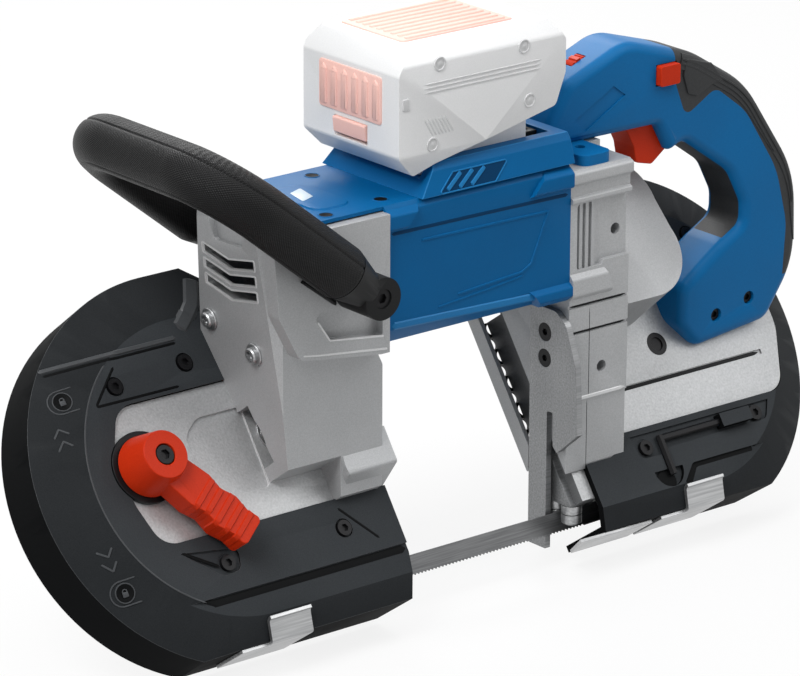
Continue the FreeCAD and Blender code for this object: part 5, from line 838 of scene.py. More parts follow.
@dataclass(frozen=True)
class CoverMarks:
    """Latches, chevrons and ledges on the two covers in a lighter painted highlight, and painted shade along
    joints and steps and in wells.
    """

    idler: CoverFace = CoverFace(0.0, -1.0, 112.5)
    drive: CoverFace = CoverFace(318.7, 1.0, 108.5)
    latches: Spots = ((-79.7, 54.4), (-84.4, -54.1))
    well_radius: float = 5.0
    well: Spots = ((0.0, -0.3), (0.0, 0.25), (0.7, 0.25), (1.1, 0.05))
    ring_radius: float = 5.8
    ring: Spots = ((0.0, -0.3), (0.25, 0.5), (0.7, 0.5), (0.95, -0.2))
    lock: Spots = oblong(-1.6, -2.2, 1.6, 0.6)
    lock_corner: float = 0.5
    lock_rise: Spots = ((0.0, -0.2), (0.0, 0.45), (0.3, 0.6))
    shackle_up: float = 0.9
    shackle_radius: float = 1.5
    shackle_sides: int = 20
    shackle: Spots = ((0.0, -0.2), (0.0, 0.45), (0.5, 0.45), (0.5, -0.2))
    slot_radius: float = 6.8
    slot_back: float = 1.5
    slot_end: float = 8.0
    slot_points: int = 20
    slot_ridge: Ridge = Ridge(0.45, 0.35, 0.8)
    chevrons: Paths = (((-92.3, 35.8), (-88.2, 40.3), (-83.6, 36.2)),
                       ((-92.9, 28.4), (-88.4, 33.3), (-84.4, 29.2)),
                       ((-93.5, -29.2), (-87.8, -33.4), (-84.7, -29.0)),
                       ((-92.6, -36.0), (-87.4, -41.4), (-84.2, -36.5)))
    chevron_ridge: Ridge = Ridge(0.7, 0.45, 0.5)
    ledge: Spots = ((-84.0, 74.4), (-60.0, 73.2), (-40.0, 72.5), (1.0, 72.6))
    ledge_ridge: Ridge = Ridge(1.6, 0.7)
    strip: Spots = ((30.0, 104.5), (20.0, 89.0), (5.0, 76.5))
    strip_ridge: Ridge = Ridge(5.2, 1.0)
    brow: Spot = (126.0, 240.0)
    brow_points: int = 90
    brow_ridge: Ridge = Ridge(0.5, 0.2)
    joints: Paths = (((-83.0, 71.4), (-40.0, 69.6), (0.0, 69.8)), ((-63.7, 46.2), (-44.1, 65.4)),
                     ((-63.7, 46.0), (-8.0, 46.0)), ((-45.7, -42.7), (-25.6, -55.4)),
                     ((60.9, -42.0), (80.8, -64.6)))
    joint_ridge: Ridge = Ridge(0.9, 0.12)
    step: float = 1.5
    step_ridge: Ridge = Ridge(2.5, 0.12, 3.0)
    idler_step: Spots = ((-82.0, -73.6), (96.0, -73.6))
    drive_step: Spots = ((398.0, -73.6), (311.0, -73.6), (298.0, -88.0))
    pocket: Spot = (287.5, -78.7)
    pocket_radius: float = 6.5
    pocket_rise: Spots = ((0.0, -0.2), (0.0, 0.12), (0.3, 0.15))

    def build(self, shop: Dresser) -> None:
        """Make the latches, chevrons, ledges and joints.

        Args:
            shop: What makes pieces.
        """
        lean = shop.lean
        marks = Stock()
        wells = Stock()
        for spot in self.latches:
            self._latch(self.idler.seat(lean, spot), marks, wells)
        for path in self.chevrons:
            self.idler.line(marks, lean, path, self.chevron_ridge)
        ledges = Stock()
        self.idler.line(ledges, lean, self.ledge, self.ledge_ridge)
        self.idler.line(ledges, lean, self.strip, self.strip_ridge)
        brow = arc(self.idler.flat, *self.brow, self.brow_points)
        ledges.bead(*self.idler.at(lean, brow), self.brow_ridge)
        # Raised marks and ledges are a painted highlight; wells and joints are painted shade.
        shop.piece("cover_marks", marks, "cover_highlight")
        shop.piece("cover_latch_wells", wells, "recess_shade")
        shop.piece("cover_ledges", ledges, "cover_highlight")
        shop.piece("cover_joint_shade", self._joints(lean), "recess_shade")

    def _latch(self, seat: Plane, marks: Stock, wells: Stock) -> None:
        """Add one latch: a well in painted shade, and a ring, a small padlock shape and the outline of its
        slot in a painted highlight.

        Args:
            seat: The plane that it lies on.
            marks: Gathers its raised lines.
            wells: Gathers its well.
        """
        wells.relief(seat, circle(0.0, 0.0, self.well_radius), self.well)
        marks.relief(seat, circle(0.0, 0.0, self.ring_radius), self.ring, cap=False)
        marks.relief(seat, rounded(self.lock, self.lock_corner), self.lock_rise)
        shackle = circle(0.0, self.shackle_up, self.shackle_radius, self.shackle_sides)
        marks.relief(seat, shackle, self.shackle, cap=False)
        bend = arc(self.slot_radius, 90.0, 270.0, self.slot_points) - (self.slot_back, 0.0)
        slot = [(self.slot_end, self.slot_radius), *bend, (self.slot_end, -self.slot_radius)]
        marks.line(seat, slot, self.slot_ridge)

    def _joints(self, lean: Lean) -> Stock:
        """Gather the painted shade along the joints and steps and in the key's pocket.

        Args:
            lean: Places of the frame.

        Returns:
            Their surfaces.
        """
        dark = Stock()
        for path in self.joints:
            self.idler.line(dark, lean, path, self.joint_ridge)
        for face, path in ((self.idler, self.idler_step), (self.drive, self.drive_step)):
            points, outs = face.at(lean, resampled(path, self.step_ridge.step))
            dark.bead(points - self.step * MM * lean.axis, outs, self.step_ridge)
        apron = Plane(lean.tilted((0.0, 0.0, self.drive.front - self.step)), X_WAY, lean.across)
        dark.relief(apron, circle(*self.pocket, self.pocket_radius), self.pocket_rise)
        return dark


@dataclass(frozen=True)
class CastingFittings:
    """Screws, vent lips, the handle's fin and the pad edges on the front casting; the lips and pad edges are
    lighter, a painted highlight.
    """

    top_x: float = 11.0
    top_z: float = 149.5
    foot_x: float = 33.0
    foot_z: float = -60.0
    screws: Spots = ((8.5, 86.0), (-29.7, 75.5))
    washer_radius: float = 6.4
    washer: Spots = ((0.0, -0.3), (0.0, 1.0), (0.3, 1.3), (2.0, 1.3))
    head_radius: float = 4.5
    head: Spots = ((0.0, 1.2), (0.0, 3.2), (0.7, 4.0), (1.9, 4.0), (1.9, 2.2))
    bar: Spots = oblong(-2.4, -0.45, 2.4, 0.45)
    bar_corner: float = 0.2
    bar_rise: Spots = ((0.0, 2.1), (0.0, 3.4))
    vent_tops: tuple[float, ...] = (128.0, 119.0, 110.0)
    vent: Spots = ((-8.5, -2.5), (14.0, -7.0), (36.5, -2.5), (36.5, 2.5), (14.0, -2.0), (-8.5, 2.5))
    vent_corner: float = 0.4
    vent_steps: int = 3
    lip: Spots = ((-1.2, -0.2), (-0.9, 0.4), (-0.25, 0.45), (0.25, -0.8))
    fin: Spots = ((26.0, 122.4), (49.0, 105.0), (48.7, 117.4), (32.8, 126.6))
    fin_corner: float = 0.6
    fin_rise: Spots = ((0.0, -0.3), (0.0, 2.5), (1.0, 3.4))
    pad_y: float = -60.0
    pad_edges: Paths = (((38.0, 97.5), (46.4, 85.4), (84.0, 80.2)),
                        ((28.0, 80.4), (40.0, 78.4), (86.5, 72.4)))
    pad_ridge: Ridge = Ridge(0.7, 0.4, 1.0)

    def build(self, shop: Dresser) -> None:
        """Make the screws, the lips, the fin and the pad edges.

        The casting's end face leans: its u is minus y, and its v runs up it from its top edge.

        Args:
            shop: What makes pieces.
        """
        rise = unit(np.array((self.top_x - self.foot_x, 0.0, self.top_z - self.foot_z)))
        face = Plane(shop.lean.upright((self.top_x, 0.0, self.top_z)), -Y_WAY, rise)
        screws = Stock()
        for y, z in self.screws:
            spot = (-y, (z - self.top_z) / rise[2])
            screws.relief(face, circle(*spot, self.washer_radius), self.washer)
            screws.relief(face, circle(*spot, self.head_radius), self.head)
            screws.relief(face, rounded(self.bar, self.bar_corner) + spot, self.bar_rise)
        shop.piece("casting_screws", screws, "bright_steel")
        lips = Stock()
        for z in self.vent_tops:
            vent = rounded(self.vent, self.vent_corner, self.vent_steps) + (0.0, (z - self.top_z) / rise[2])
            lips.relief(face, vent, self.lip, cap=False)
        shop.piece("vent_lips", lips, "casting_highlight")
        pad = shop.lean.front(self.pad_y)
        fin = Stock()
        fin.relief(pad, rounded(self.fin, self.fin_corner), self.fin_rise)
        shop.piece("handle_fin", fin, "black_plastic")
        edges = Stock()
        for path in self.pad_edges:
            edges.line(pad, path, self.pad_ridge)
        shop.piece("casting_pad_edges", edges, "casting_highlight")


@dataclass(frozen=True)
class HousingRelief:
    """Moulded lines on the motor housing, with a painted highlight along its sill and a painted shadow under
    its lip, slots on the dock and fittings on the deck.
    """

    face_y: float = -57.0
    rear_y: float = 29.0
    panel: Spots = ((112.0, 128.4), (203.4, 127.1), (191.3, 98.9), (184.4, 95.4), (138.0, 92.1))
    panel_ridge: Ridge = Ridge(0.9, 0.5, 0.8)
    spear: Spots = ((124.0, 87.4), (160.0, 90.5), (186.0, 93.2))
    spear_ridge: Ridge = Ridge(0.7, 0.4, 0.8)
    sill: Spots = ((91.5, 83.0), (150.0, 80.8), (198.0, 79.0))
    sill_ridge: Ridge = Ridge(2.4, 0.5, 2.0)
    shade: Spots = ((91.0, 135.6), (150.0, 135.0), (218.0, 134.0))
    shade_ridge: Ridge = Ridge(1.2, 0.12, 2.0)
    dock_foot: Spot = (-58.0, 151.5)
    dock_head: Spot = (-54.0, 164.5)
    recess: Spots = ((124.5, 0.8), (164.0, 0.8), (175.0, 11.0), (136.0, 11.0))
    recess_corner: float = 0.8
    recess_floor: Spots = ((0.0, -0.2), (0.0, 0.08), (0.6, 0.08))
    recess_rim: Spots = ((-0.7, -0.2), (-0.4, 0.45), (0.1, 0.45), (0.4, -0.2))
    bars: Paths = (((130.0, 1.8), (141.5, 10.2)), ((138.5, 1.8), (150.0, 10.2)),
                   ((147.0, 1.8), (158.5, 10.2)))
    bar_ridge: Ridge = Ridge(1.5, 0.6, 0.6)
    deck_z: float = 151.5
    deck_screws: Spots = ((93.2, 14.7), (95.0, -43.0), (54.0, -47.0), (56.0, 18.0))
    rim_radius: float = 4.6
    rim: Spots = ((0.0, -0.2), (0.3, 0.35), (0.7, 0.35), (1.0, -0.2))
    well_radius: float = 3.7
    well: Spots = ((0.0, -0.2), (0.0, 0.12), (1.4, 0.12), (1.6, 0.02))
    deck_pad: Spots = oblong(53.0, -40.0, 80.0, 6.0)
    pad_corner: float = 9.0
    pad_steps: int = 8
    pad_rise: Spots = ((0.0, -0.2), (0.9, 0.8), (1.6, 0.9))
    label: Spots = ((57.9, -22.2), (67.8, -18.4), (71.4, -2.4), (61.4, -6.3))
    label_corner: float = 0.6
    label_rise: Spots = ((0.0, 0.5), (0.0, 1.05), (0.2, 1.1))

    def build(self, shop: Dresser) -> None:
        """Make the lines on both sides, and then the slots, screws and pads.

        Args:
            shop: What makes pieces.
        """
        moulded = ((self.panel, self.panel_ridge), (self.spear, self.spear_ridge))
        for name, finish, lines in (("housing_lines", "blue_plastic", moulded),
                                    ("housing_sill", "blue_highlight", ((self.sill, self.sill_ridge),)),
                                    ("housing_shade", "blue_shadow", ((self.shade, self.shade_ridge),))):
            stock = Stock()
            for plane, sense in shop.lean.sides(self.face_y, self.rear_y):
                for path, ridge in lines:
                    stock.line(plane, path, ridge, sense)
            shop.piece(name, stock, finish)
        self._dock(shop)
        self._deck(shop)

    def _dock(self, shop: Dresser) -> None:
        """Make the slanted slots on the dock's near side: floors in painted shade, rims and bars in a lighter
        painted highlight.

        Args:
            shop: What makes pieces.
        """
        rise = unit(np.array((0.0, *np.subtract(self.dock_head, self.dock_foot))))
        side = Plane(shop.lean.upright((0.0, *self.dock_foot)), X_WAY, rise)
        outline = rounded(self.recess, self.recess_corner)
        floor = Stock()
        floor.relief(side, outline, self.recess_floor)
        shop.piece("dock_slot_shade", floor, "blue_shadow")
        bars = Stock()
        bars.relief(side, outline, self.recess_rim, cap=False)
        for path in self.bars:
            bars.line(side, path, self.bar_ridge)
        shop.piece("dock_bars", bars, "blue_highlight")

    def _deck(self, shop: Dresser) -> None:
        """Make the deck's screws, with their holes in painted shade, its pad and its bare label.

        Args:
            shop: What makes pieces.
        """
        deck = shop.lean.top(self.deck_z)
        rims = Stock()
        wells = Stock()
        for spot in self.deck_screws:
            rims.relief(deck, circle(*spot, self.rim_radius), self.rim, cap=False)
            wells.relief(deck, circle(*spot, self.well_radius), self.well)
        rims.relief(deck, rounded(self.deck_pad, self.pad_corner, self.pad_steps), self.pad_rise)
        shop.piece("deck_pad", rims, "blue_plastic")
        shop.piece("deck_screws", wells, "recess_shade")
        label = Stock()
        label.relief(deck, rounded(self.label, self.label_corner), self.label_rise)
        shop.piece("bare_deck_label", label, "bare_label")


@dataclass(frozen=True)
class FrontGrip:
    """Knurled sleeve of the front handle: a round profile carried along the bow."""

    socket_x: float = 61.5
    socket_z: float = 112.8
    middle_y: float = -14.0
    slope: float = 141.3
    half_span: float = 64.0
    reach: float = 128.0
    bend: float = 34.0
    start: float = 26.0
    radius: float = 15.45
    sides: int = 96
    step: float = 0.75
    seams: tuple[int, ...] = (7, 36, 76)
    seam_width: float = 0.045
    seam_depth: float = 0.7
    strip_start: float = 0.55
    strip_end: float = 1.4
    strip_edge: float = 40.0
    rib_pitch: float = 3.0
    rib_depth: float = 0.3
    rib_start: float = 75.0
    rib_ease: float = 12.0
    end_round: float = 2.0
    end_drop: float = 0.9
    end_least: float = 0.0001

    def path(self) -> tuple[np.ndarray, np.ndarray, np.ndarray]:
        """The bow's middle line in its own plane.

        It runs up one arm, round a quarter circle, along the cross bar, round another and down.

        Returns:
            Distances along it, points (t, s), and outward directions in the plane.
        """
        arm = self.reach - self.bend - self.start
        quarter = self.bend * math.pi / 2
        inner = self.half_span - self.bend
        total = 2 * (arm + quarter + inner)
        marks = np.linspace(0.0, total, int(total / self.step))
        half = np.minimum(marks, total - marks)
        side = np.where(marks < total / 2, -1.0, 1.0)
        angle = np.clip((half - arm) / self.bend, 0.0, math.pi / 2)
        t = self.start + np.minimum(half, arm) + self.bend * np.sin(angle)
        s = inner + self.bend * np.cos(angle) - np.maximum(half - arm - quarter, 0.0)
        return marks, np.stack((t, side * s), axis=1), np.stack((np.sin(angle), side * np.cos(angle)), axis=1)

    def radii(self, marks: np.ndarray, turn: np.ndarray) -> np.ndarray:
        """The sleeve's radius at each distance along it and each angle round it.

        It is the plain radius, less a narrow notch at each seam's column, less fine waves along the bar on
        the strip between two angles, less a quarter round at both ends.

        Args:
            marks: Distances of its rows.
            turn: Angles of its columns.

        Returns:
            Array of rows and columns, in millimetres.
        """
        end = np.minimum(marks, marks[-1] - marks)
        notch = sum(np.exp(-((turn - turn[seam]) / self.seam_width) ** 2) for seam in self.seams)
        strip = 1.0 / (1.0 + np.exp((self.strip_start - turn) * self.strip_edge))
        strip = strip / (1.0 + np.exp((turn - self.strip_end) * self.strip_edge))
        bar = np.clip((end - self.rib_start) / self.rib_ease, 0.0, 1.0)
        waves = (0.5 - 0.5 * np.cos(2 * math.pi * marks / self.rib_pitch)) * bar
        ease = np.minimum(1.0, np.sqrt(end / self.end_round + self.end_least))
        plain = self.radius - self.end_drop * (1.0 - ease[:, None])
        return plain - self.seam_depth * notch[None] - self.rib_depth * strip[None] * waves[:, None]

    def build(self, shop: Dresser) -> None:
        """Make the sleeve with its own map: a ring of the sleeve's radii round each point of the bow.

        Args:
            shop: What makes pieces.
        """
        marks, spots, outward = self.path()
        slope = math.radians(self.slope)
        along = np.array((math.cos(slope), 0.0, math.sin(slope)))
        over = np.array((math.sin(slope), 0.0, -math.cos(slope)))
        base = shop.lean.upright((self.socket_x, self.middle_y, self.socket_z))
        points = base + MM * (spots[:, :1] * along + spots[:, 1:] * Y_WAY)
        out = outward[:, :1] * along + outward[:, 1:] * Y_WAY
        turn = np.linspace(0.0, 2 * math.pi, self.sides, endpoint=False)
        ring = np.cos(turn)[None, :, None] * out[:, None] + np.sin(turn)[None, :, None] * over
        grid = points[:, None] + MM * self.radii(marks, turn)[..., None] * ring
        stock = Stock()
        stock.add(grid[:, ::-1], wrap=True, start_cap=True, end_cap=True)
        sleeve = shop.piece("front_grip_sleeve", stock, "knurled_rubber")
        self._map(sleeve, marks)
        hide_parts("front_handle_grip")

    def _map(self, sleeve: bpy.types.Object, marks: np.ndarray) -> None:
        """Lay a map in millimetres on the sleeve: distance along it, and round it.

        Args:
            sleeve: The piece.
            marks: Distances of its rows.
        """
        rows, columns = np.meshgrid(np.arange(len(marks) - 1), np.arange(self.sides), indexing="ij")
        width = 2 * math.pi * self.radius / self.sides
        u = np.stack((marks[rows], marks[rows], marks[rows + 1], marks[rows + 1]), axis=-1)
        v = np.stack((columns, columns + 1, columns + 1, columns), axis=-1) * width
        flat = np.zeros((len(sleeve.data.loops), 2))
        flat[:u.size] = np.stack((u.ravel(), v.ravel()), axis=1)
        layer = sleeve.data.uv_layers.new(name="sleeve_map")
        layer.data.foreach_set("uv", flat.ravel())


@dataclass(frozen=True)
class RearGrip:
    """Rubber laid over the rear handle's back on both sides, with its steps, and the foot screws."""

    front_y: float = -31.0
    rear_y: float = 3.0
    outline: Spots = ((284.0, -20.0), (421.0, -20.0), (421.0, 48.0), (419.0, 104.0), (378.0, 164.0),
                      (335.0, 190.0), (284.0, 205.0))
    outline_radius: float = 70.0
    arc_steps: int = 8
    back_corners: tuple[int, int] = (3, 6)
    path_step: float = 1.5
    pad: Spots = ((325.8, 178.0), (329.8, 166.0), (337.3, 163.6), (350.1, 169.2), (359.0, 167.5),
                  (348.5, 181.5), (328.0, 188.0))
    pad_corner: float = 2.0
    pad_rise: Spots = ((0.0, -0.3), (0.5, 0.9), (1.0, 1.0))
    edge_round: float = 6.0
    lap_start: float = 1.6
    lap_foot: float = 2.2
    lap_top: float = 11.5
    foot_z: float = 60.0
    lap_height: float = 0.6
    lap_shares: tuple[float, ...] = (0.0, 0.03, 0.15, 0.3, 0.5, 0.7, 0.94, 1.0)
    lap_lifts: tuple[float, ...] = (-0.6, 1.0, 1.0, 1.0, 1.0, 1.0, 1.0, -0.5)
    ribs: Spot = (5.0, 7.6)
    rib_margin: float = 1.5
    rib_ridge: Ridge = Ridge(0.8, 0.6)
    screws: Spots = ((356.8, 27.5), (382.5, 32.9))
    screw_radius: float = 3.9
    screw: Spots = ((0.0, -4.0), (0.0, -2.2), (0.5, -1.8), (1.9, -1.8), (1.9, -3.2))

    def back(self) -> tuple[np.ndarray, np.ndarray, np.ndarray]:
        """The handle's back edge from its foot to its top.

        Returns:
            Places (x, z), inward directions, and the width of the rubber's lap at each place.
        """
        whole = rounded(self.outline, self.outline_radius, self.arc_steps)
        first, last = self.back_corners
        path = resampled(whole[first * self.arc_steps - 1:last * self.arc_steps], self.path_step)
        path = path[path[:, 1] > self.foot_z]
        tangent = unit(np.gradient(path, axis=0))
        inward = np.stack((-tangent[:, 1], tangent[:, 0]), axis=1)
        share = np.linspace(0.0, 1.0, len(path))
        lap = self.lap_foot + (self.lap_top - self.lap_foot) * np.sqrt(np.sin(share * math.pi / 2))
        return path, inward, lap[:, None]

    def fall(self, reach: np.ndarray) -> np.ndarray:
        """How far the handle's rounded edge lies below its side, at distances inside its outline."""
        return self.edge_round - np.sqrt(self.edge_round ** 2 - np.maximum(self.edge_round - reach, 0.0) ** 2)

    def build(self, shop: Dresser) -> None:
        """Make the lap, its ribs, the raised pads and the screws.

        The lap's height over the side is its own thickness less the fall of the handle's rounded edge,
        r - sqrt(r^2 - (r - d)^2) at a distance d inside the edge, and it drops to nothing at both rims.

        Args:
            shop: What makes pieces.
        """
        rubber = Stock()
        path, inward, lap = self.back()
        reach = self.lap_start + (lap - self.lap_start) * np.array(self.lap_shares)
        lift = np.array(self.lap_lifts) * self.lap_height - self.fall(reach)
        spots = path[:, None] + inward[:, None] * reach[..., None]
        for plane, sense in shop.lean.sides(self.front_y, self.rear_y):
            turn = np.array((sense, 1))
            rubber.relief(plane, rounded(np.array(self.pad[::sense]) * turn, self.pad_corner), self.pad_rise)
            grid = plane.place(spots * turn) + MM * lift[..., None] * plane.out
            rubber.add(grid[::-sense])
            for place in self.ribs:
                wide = lap[:, 0] > place + self.rib_margin
                rib = (path + inward * place)[wide] * turn
                rubber.bead(plane.place(rib, self.lap_height - self.fall(place)), plane.out, self.rib_ridge)
        shop.piece("rear_grip_lap", rubber, "black_rubber")
        screws = Stock()
        for spot in self.screws:
            screws.relief(shop.lean.front(self.front_y), circle(*spot, self.screw_radius), self.screw)
        shop.piece("handle_foot_screws", screws, "black_oxide")


@dataclass(frozen=True)
class ColumnGrooveShade:
    """Painted shade in the grooves of the column and the drive plate, and a painted highlight along the
    column's step.
    """

    face_y: float = -57.0
    groove_depth: float = 1.2
    left: float = 220.4
    right: float = 263.6
    grooves: Spot = (50.8, 66.6)
    groove_ridge: Ridge = Ridge(0.9, 0.1, 4.0)
    split_x: float = 235.3
    split_top: float = 65.0
    split_ridge: Ridge = Ridge(0.25, 0.08, 4.0)
    foot_top: float = 10.0
    foot: float = -56.0
    step_ridge: Ridge = Ridge(1.3, 0.5, 4.0)
    plate_front: float = 27.0
    plate_groove: Spots = ((268.0, -20.5), (390.0, -20.5))
    plate_ridge: Ridge = Ridge(1.3, 0.1, 4.0)

    def build(self, shop: Dresser) -> None:
        """Make the painted shade in the grooves and the highlighted step.

        Args:
            shop: What makes pieces.
        """
        lean = shop.lean
        face = lean.front(self.face_y)
        sunk = lean.front(self.face_y + self.groove_depth)
        plate = Plane(lean.tilted((0.0, 0.0, self.plate_front - self.groove_depth)), X_WAY, lean.across)
        # The dark lines in the grooves are painted shade.
        seams = Stock()
        for z in self.grooves:
            seams.line(sunk, ((self.left, z), (self.right, z)), self.groove_ridge)
        for plane, top, foot in ((face, self.split_top, self.foot_top), (sunk, self.foot_top, self.foot)):
            seams.line(plane, ((self.split_x, top), (self.split_x, foot)), self.split_ridge)
        seams.line(plate, self.plate_groove, self.plate_ridge)
        shop.piece("groove_shade", seams, "seam_shadow")
        step = Stock()
        z = self.foot_top + self.step_ridge.half
        step.line(face, ((self.left, z), (self.right, z)), self.step_ridge)
        shop.piece("column_step", step, "casting_highlight")


@dataclass(frozen=True)
class LeverRidges:
    """Finger ridges over the tension lever's arm."""

    pivot: Spot = (-48.0, 7.5)
    angle: float = -53.0
    top: float = 46.0
    foot: float = 34.0
    half_width: float = 11.0
    dip: float = 2.2
    pitch: float = 9.5
    first: float = 28.0
    places: tuple[float, ...] = (31.0, 38.0, 45.0, 52.0, 59.0)
    bite: float = 0.4
    shoulder: Spot = (1.0, 1.2)
    crown: float = 0.1
    side_band: float = 1.6
    top_band: float = 2.2
    top_ease: float = 2.0
    ridge: Ridge = Ridge(2.3, 0.9, 0.8)

    def build(self, shop: Dresser) -> None:
        """Make the ridges: each runs up one side of the arm, over its top and down the other.

        The arm's half width falls and rises by the dip at every pitch, so each ridge starts from the
        width at its own place. Its outward direction turns from the side to the top over two bands.

        Args:
            shop: What makes pieces.
        """
        turn = math.radians(self.angle)
        along = np.array((math.cos(turn), math.sin(turn)))
        aside = np.array((-math.sin(turn), math.cos(turn)))
        way = aside[0] * X_WAY + aside[1] * shop.lean.across
        inner, drop = self.shoulder
        ridges = Stock()
        for place in self.places:
            phase = (place - self.first) / self.pitch % 2.0
            half = self.half_width - self.dip * (1.0 - abs(phase - 1.0)) - self.bite
            crown = (inner - half, self.top - self.crown)
            climb = np.array(((-half, self.foot), (-half, self.top - drop), crown))
            path = resampled(np.concatenate((climb, climb[::-1] * (-1, 1))), self.ridge.step)
            sides, heights = path[:, :1], path[:, 1:]
            flat = np.array(self.pivot) + place * along + sides * aside
            points = shop.lean.tilted(np.concatenate((flat, heights), axis=1))
            sideways = np.clip((np.abs(sides) - half + self.side_band) / self.side_band, 0.0, 1.0)
            sideways = sideways * np.sign(sides)
            upward = np.clip((heights - self.top + self.top_band) / self.top_ease, 0.0, 1.0)
            ridges.bead(points, unit(sideways * way + upward * shop.lean.axis), self.ridge)
        shop.piece("lever_ridges", ridges, "red_plastic", Body.LEVER)


@dataclass(frozen=True)
class BatteryDress:
    """Ribbed panels and side marks of the battery."""

    middle_y: float = -14.0
    panel_half: float = 27.0
    panel_corner: float = 2.0
    end_x: float = 97.5
    end_low: float = 192.0
    end_high: float = 219.0
    end_sheet: Spots = ((0.0, -0.2), (0.2, 0.7), (0.7, 0.9))
    end_ribs: int = 6
    end_rib: Spots = ((-2.9, 194.0), (2.9, 194.0), (2.9, 214.5), (0.0, 217.5), (-2.9, 214.5))
    end_rib_corner: float = 1.0
    end_rise: Spots = ((0.0, 0.6), (0.6, 1.6), (1.4, 1.95))
    top_z: float = 236.0
    top_left: float = 111.5
    top_right: float = 190.0
    top_sheet: Spots = ((0.0, -0.2), (0.2, 0.8), (0.7, 1.0))
    top_ribs: int = 9
    top_rib: Spots = oblong(115.5, -1.7, 186.0, 1.7)
    top_rib_corner: float = 1.2
    top_rise: Spots = ((0.0, 0.8), (0.4, 1.7), (0.9, 1.95))
    rib_steps: int = 4
    half_width: float = 41.5
    bumps: Spots = ((125.8, 225.0), (185.6, 224.5), (121.0, 180.5), (190.0, 193.0))
    bump_radius: float = 4.2
    bump: Spots = ((0.0, -0.2), (0.3, 0.5), (0.9, 0.5), (1.2, 0.1), (2.6, 0.1), (3.0, 0.3))
    grooves: tuple[float, ...] = (214.8, 212.4, 210.0)
    groove_left: float = 114.0
    groove_right: float = 199.0
    groove_ridge: Ridge = Ridge(0.55, 0.35, 4.0)
    hatch: Spots = ((115.0, 196.0), (121.5, 185.0))
    hatches: int = 7
    hatch_pitch: float = 2.4
    hatch_ridge: Ridge = Ridge(0.5, 0.35)
    tab: Spots = oblong(99.5, 202.5, 104.5, 209.5)
    tab_corner: float = 1.2
    tab_rise: Spots = ((0.0, -0.2), (0.4, 0.5), (0.9, 0.6))

    def build(self, shop: Dresser) -> None:
        """Make the panels on the end and the top, each a sheet with ribs set evenly over it, and the marks.

        Args:
            shop: What makes pieces.
        """
        panels = Stock()
        end = shop.lean.left(self.end_x)
        first, last = -self.middle_y - self.panel_half, -self.middle_y + self.panel_half
        sheet = oblong(first, self.end_low, last, self.end_high)
        panels.relief(end, rounded(sheet, self.panel_corner), self.end_sheet)
        rib = rounded(self.end_rib, self.end_rib_corner, self.rib_steps)
        for place in self._places(self.end_ribs):
            panels.relief(end, rib + (place - self.middle_y, 0.0), self.end_rise)
        top = shop.lean.top(self.top_z)
        sheet = oblong(self.top_left, -last, self.top_right, -first)
        panels.relief(top, rounded(sheet, self.panel_corner), self.top_sheet)
        rib = rounded(self.top_rib, self.top_rib_corner, self.rib_steps)
        for place in self._places(self.top_ribs):
            panels.relief(top, rib + (0.0, place + self.middle_y), self.top_rise)
        made = shop.piece("battery_ribbed_panels", panels, "pale_panel", Body.BATTERY)
        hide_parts("battery_panels")
        self._sides(shop)

    def _places(self, count: int) -> np.ndarray:
        """Middles of a number of even shares of a panel's width, from the panel's own middle."""
        return self.panel_half * ((2 * np.arange(count) + 1) / count - 1)

    def _sides(self, shop: Dresser) -> None:
        """Make the marks on the battery's two long sides.

        Args:
            shop: What makes pieces.
        """
        marks = Stock()
        for plane, sense in shop.lean.sides(self.middle_y - self.half_width, self.middle_y + self.half_width):
            for x, z in self.bumps:
                marks.relief(plane, circle(sense * x, z, self.bump_radius), self.bump)
            for z in self.grooves:
                marks.line(plane, ((self.groove_left, z), (self.groove_right, z)), self.groove_ridge, sense)
            for number in range(self.hatches):
                path = np.add(self.hatch, (number * self.hatch_pitch, 0.0))
                marks.line(plane, path, self.hatch_ridge, sense)
            tab = np.array(self.tab[::sense]) * (sense, 1)
            marks.relief(plane, rounded(tab, self.tab_corner), self.tab_rise)
        shop.piece("battery_side_marks", marks, "pale_line", Body.BATTERY)


@dataclass(frozen=True)
class Viewpoint:
    """The photograph's camera, found from the wheel plane and the blade's length."""

    azimuth: float = 39.2875
    elevation: float = 18.8049
    roll: float = 0.2240
    focal_pixels: float = 5002.32
    frame_width: float = 800.0
    right: float = -102.507
    up: float = -70.450
    away: float = 2719.843
    aim_a: float = 18.0
    sensor: float = 36.0
    farthest: float = 20.0

    def build(self, lean: Lean) -> None:
        """Place the camera.

        Args:
            lean: Places of the frame.
        """
        azimuth, elevation, roll = np.radians((self.azimuth, self.elevation, self.roll))
        level = np.array((math.cos(azimuth), -math.sin(azimuth), 0.0))
        ground = np.array((-math.sin(azimuth), -math.cos(azimuth), 0.0))
        back = math.cos(elevation) * ground + math.sin(elevation) * Z_WAY
        upward = np.cross(back, level)
        side = math.cos(roll) * level + math.sin(roll) * upward
        top = math.cos(roll) * upward - math.sin(roll) * level
        offset = (-self.right * side - self.up * top + self.away * back) * MM
        data = bpy.data.cameras.new("photo_camera")
        data.sensor_width = self.sensor
        data.lens = self.focal_pixels * self.sensor / self.frame_width
        data.clip_end = self.farthest
        camera = bpy.data.objects.new("photo_camera", data)
        place = Matrix.Translation(Vector(lean.tilted((0.0, 0.0, self.aim_a)) + offset))
        camera.matrix_world = place @ Matrix((side, top, back)).transposed().to_4x4()
        bpy.context.scene.collection.objects.link(camera)
        bpy.context.scene.camera = camera


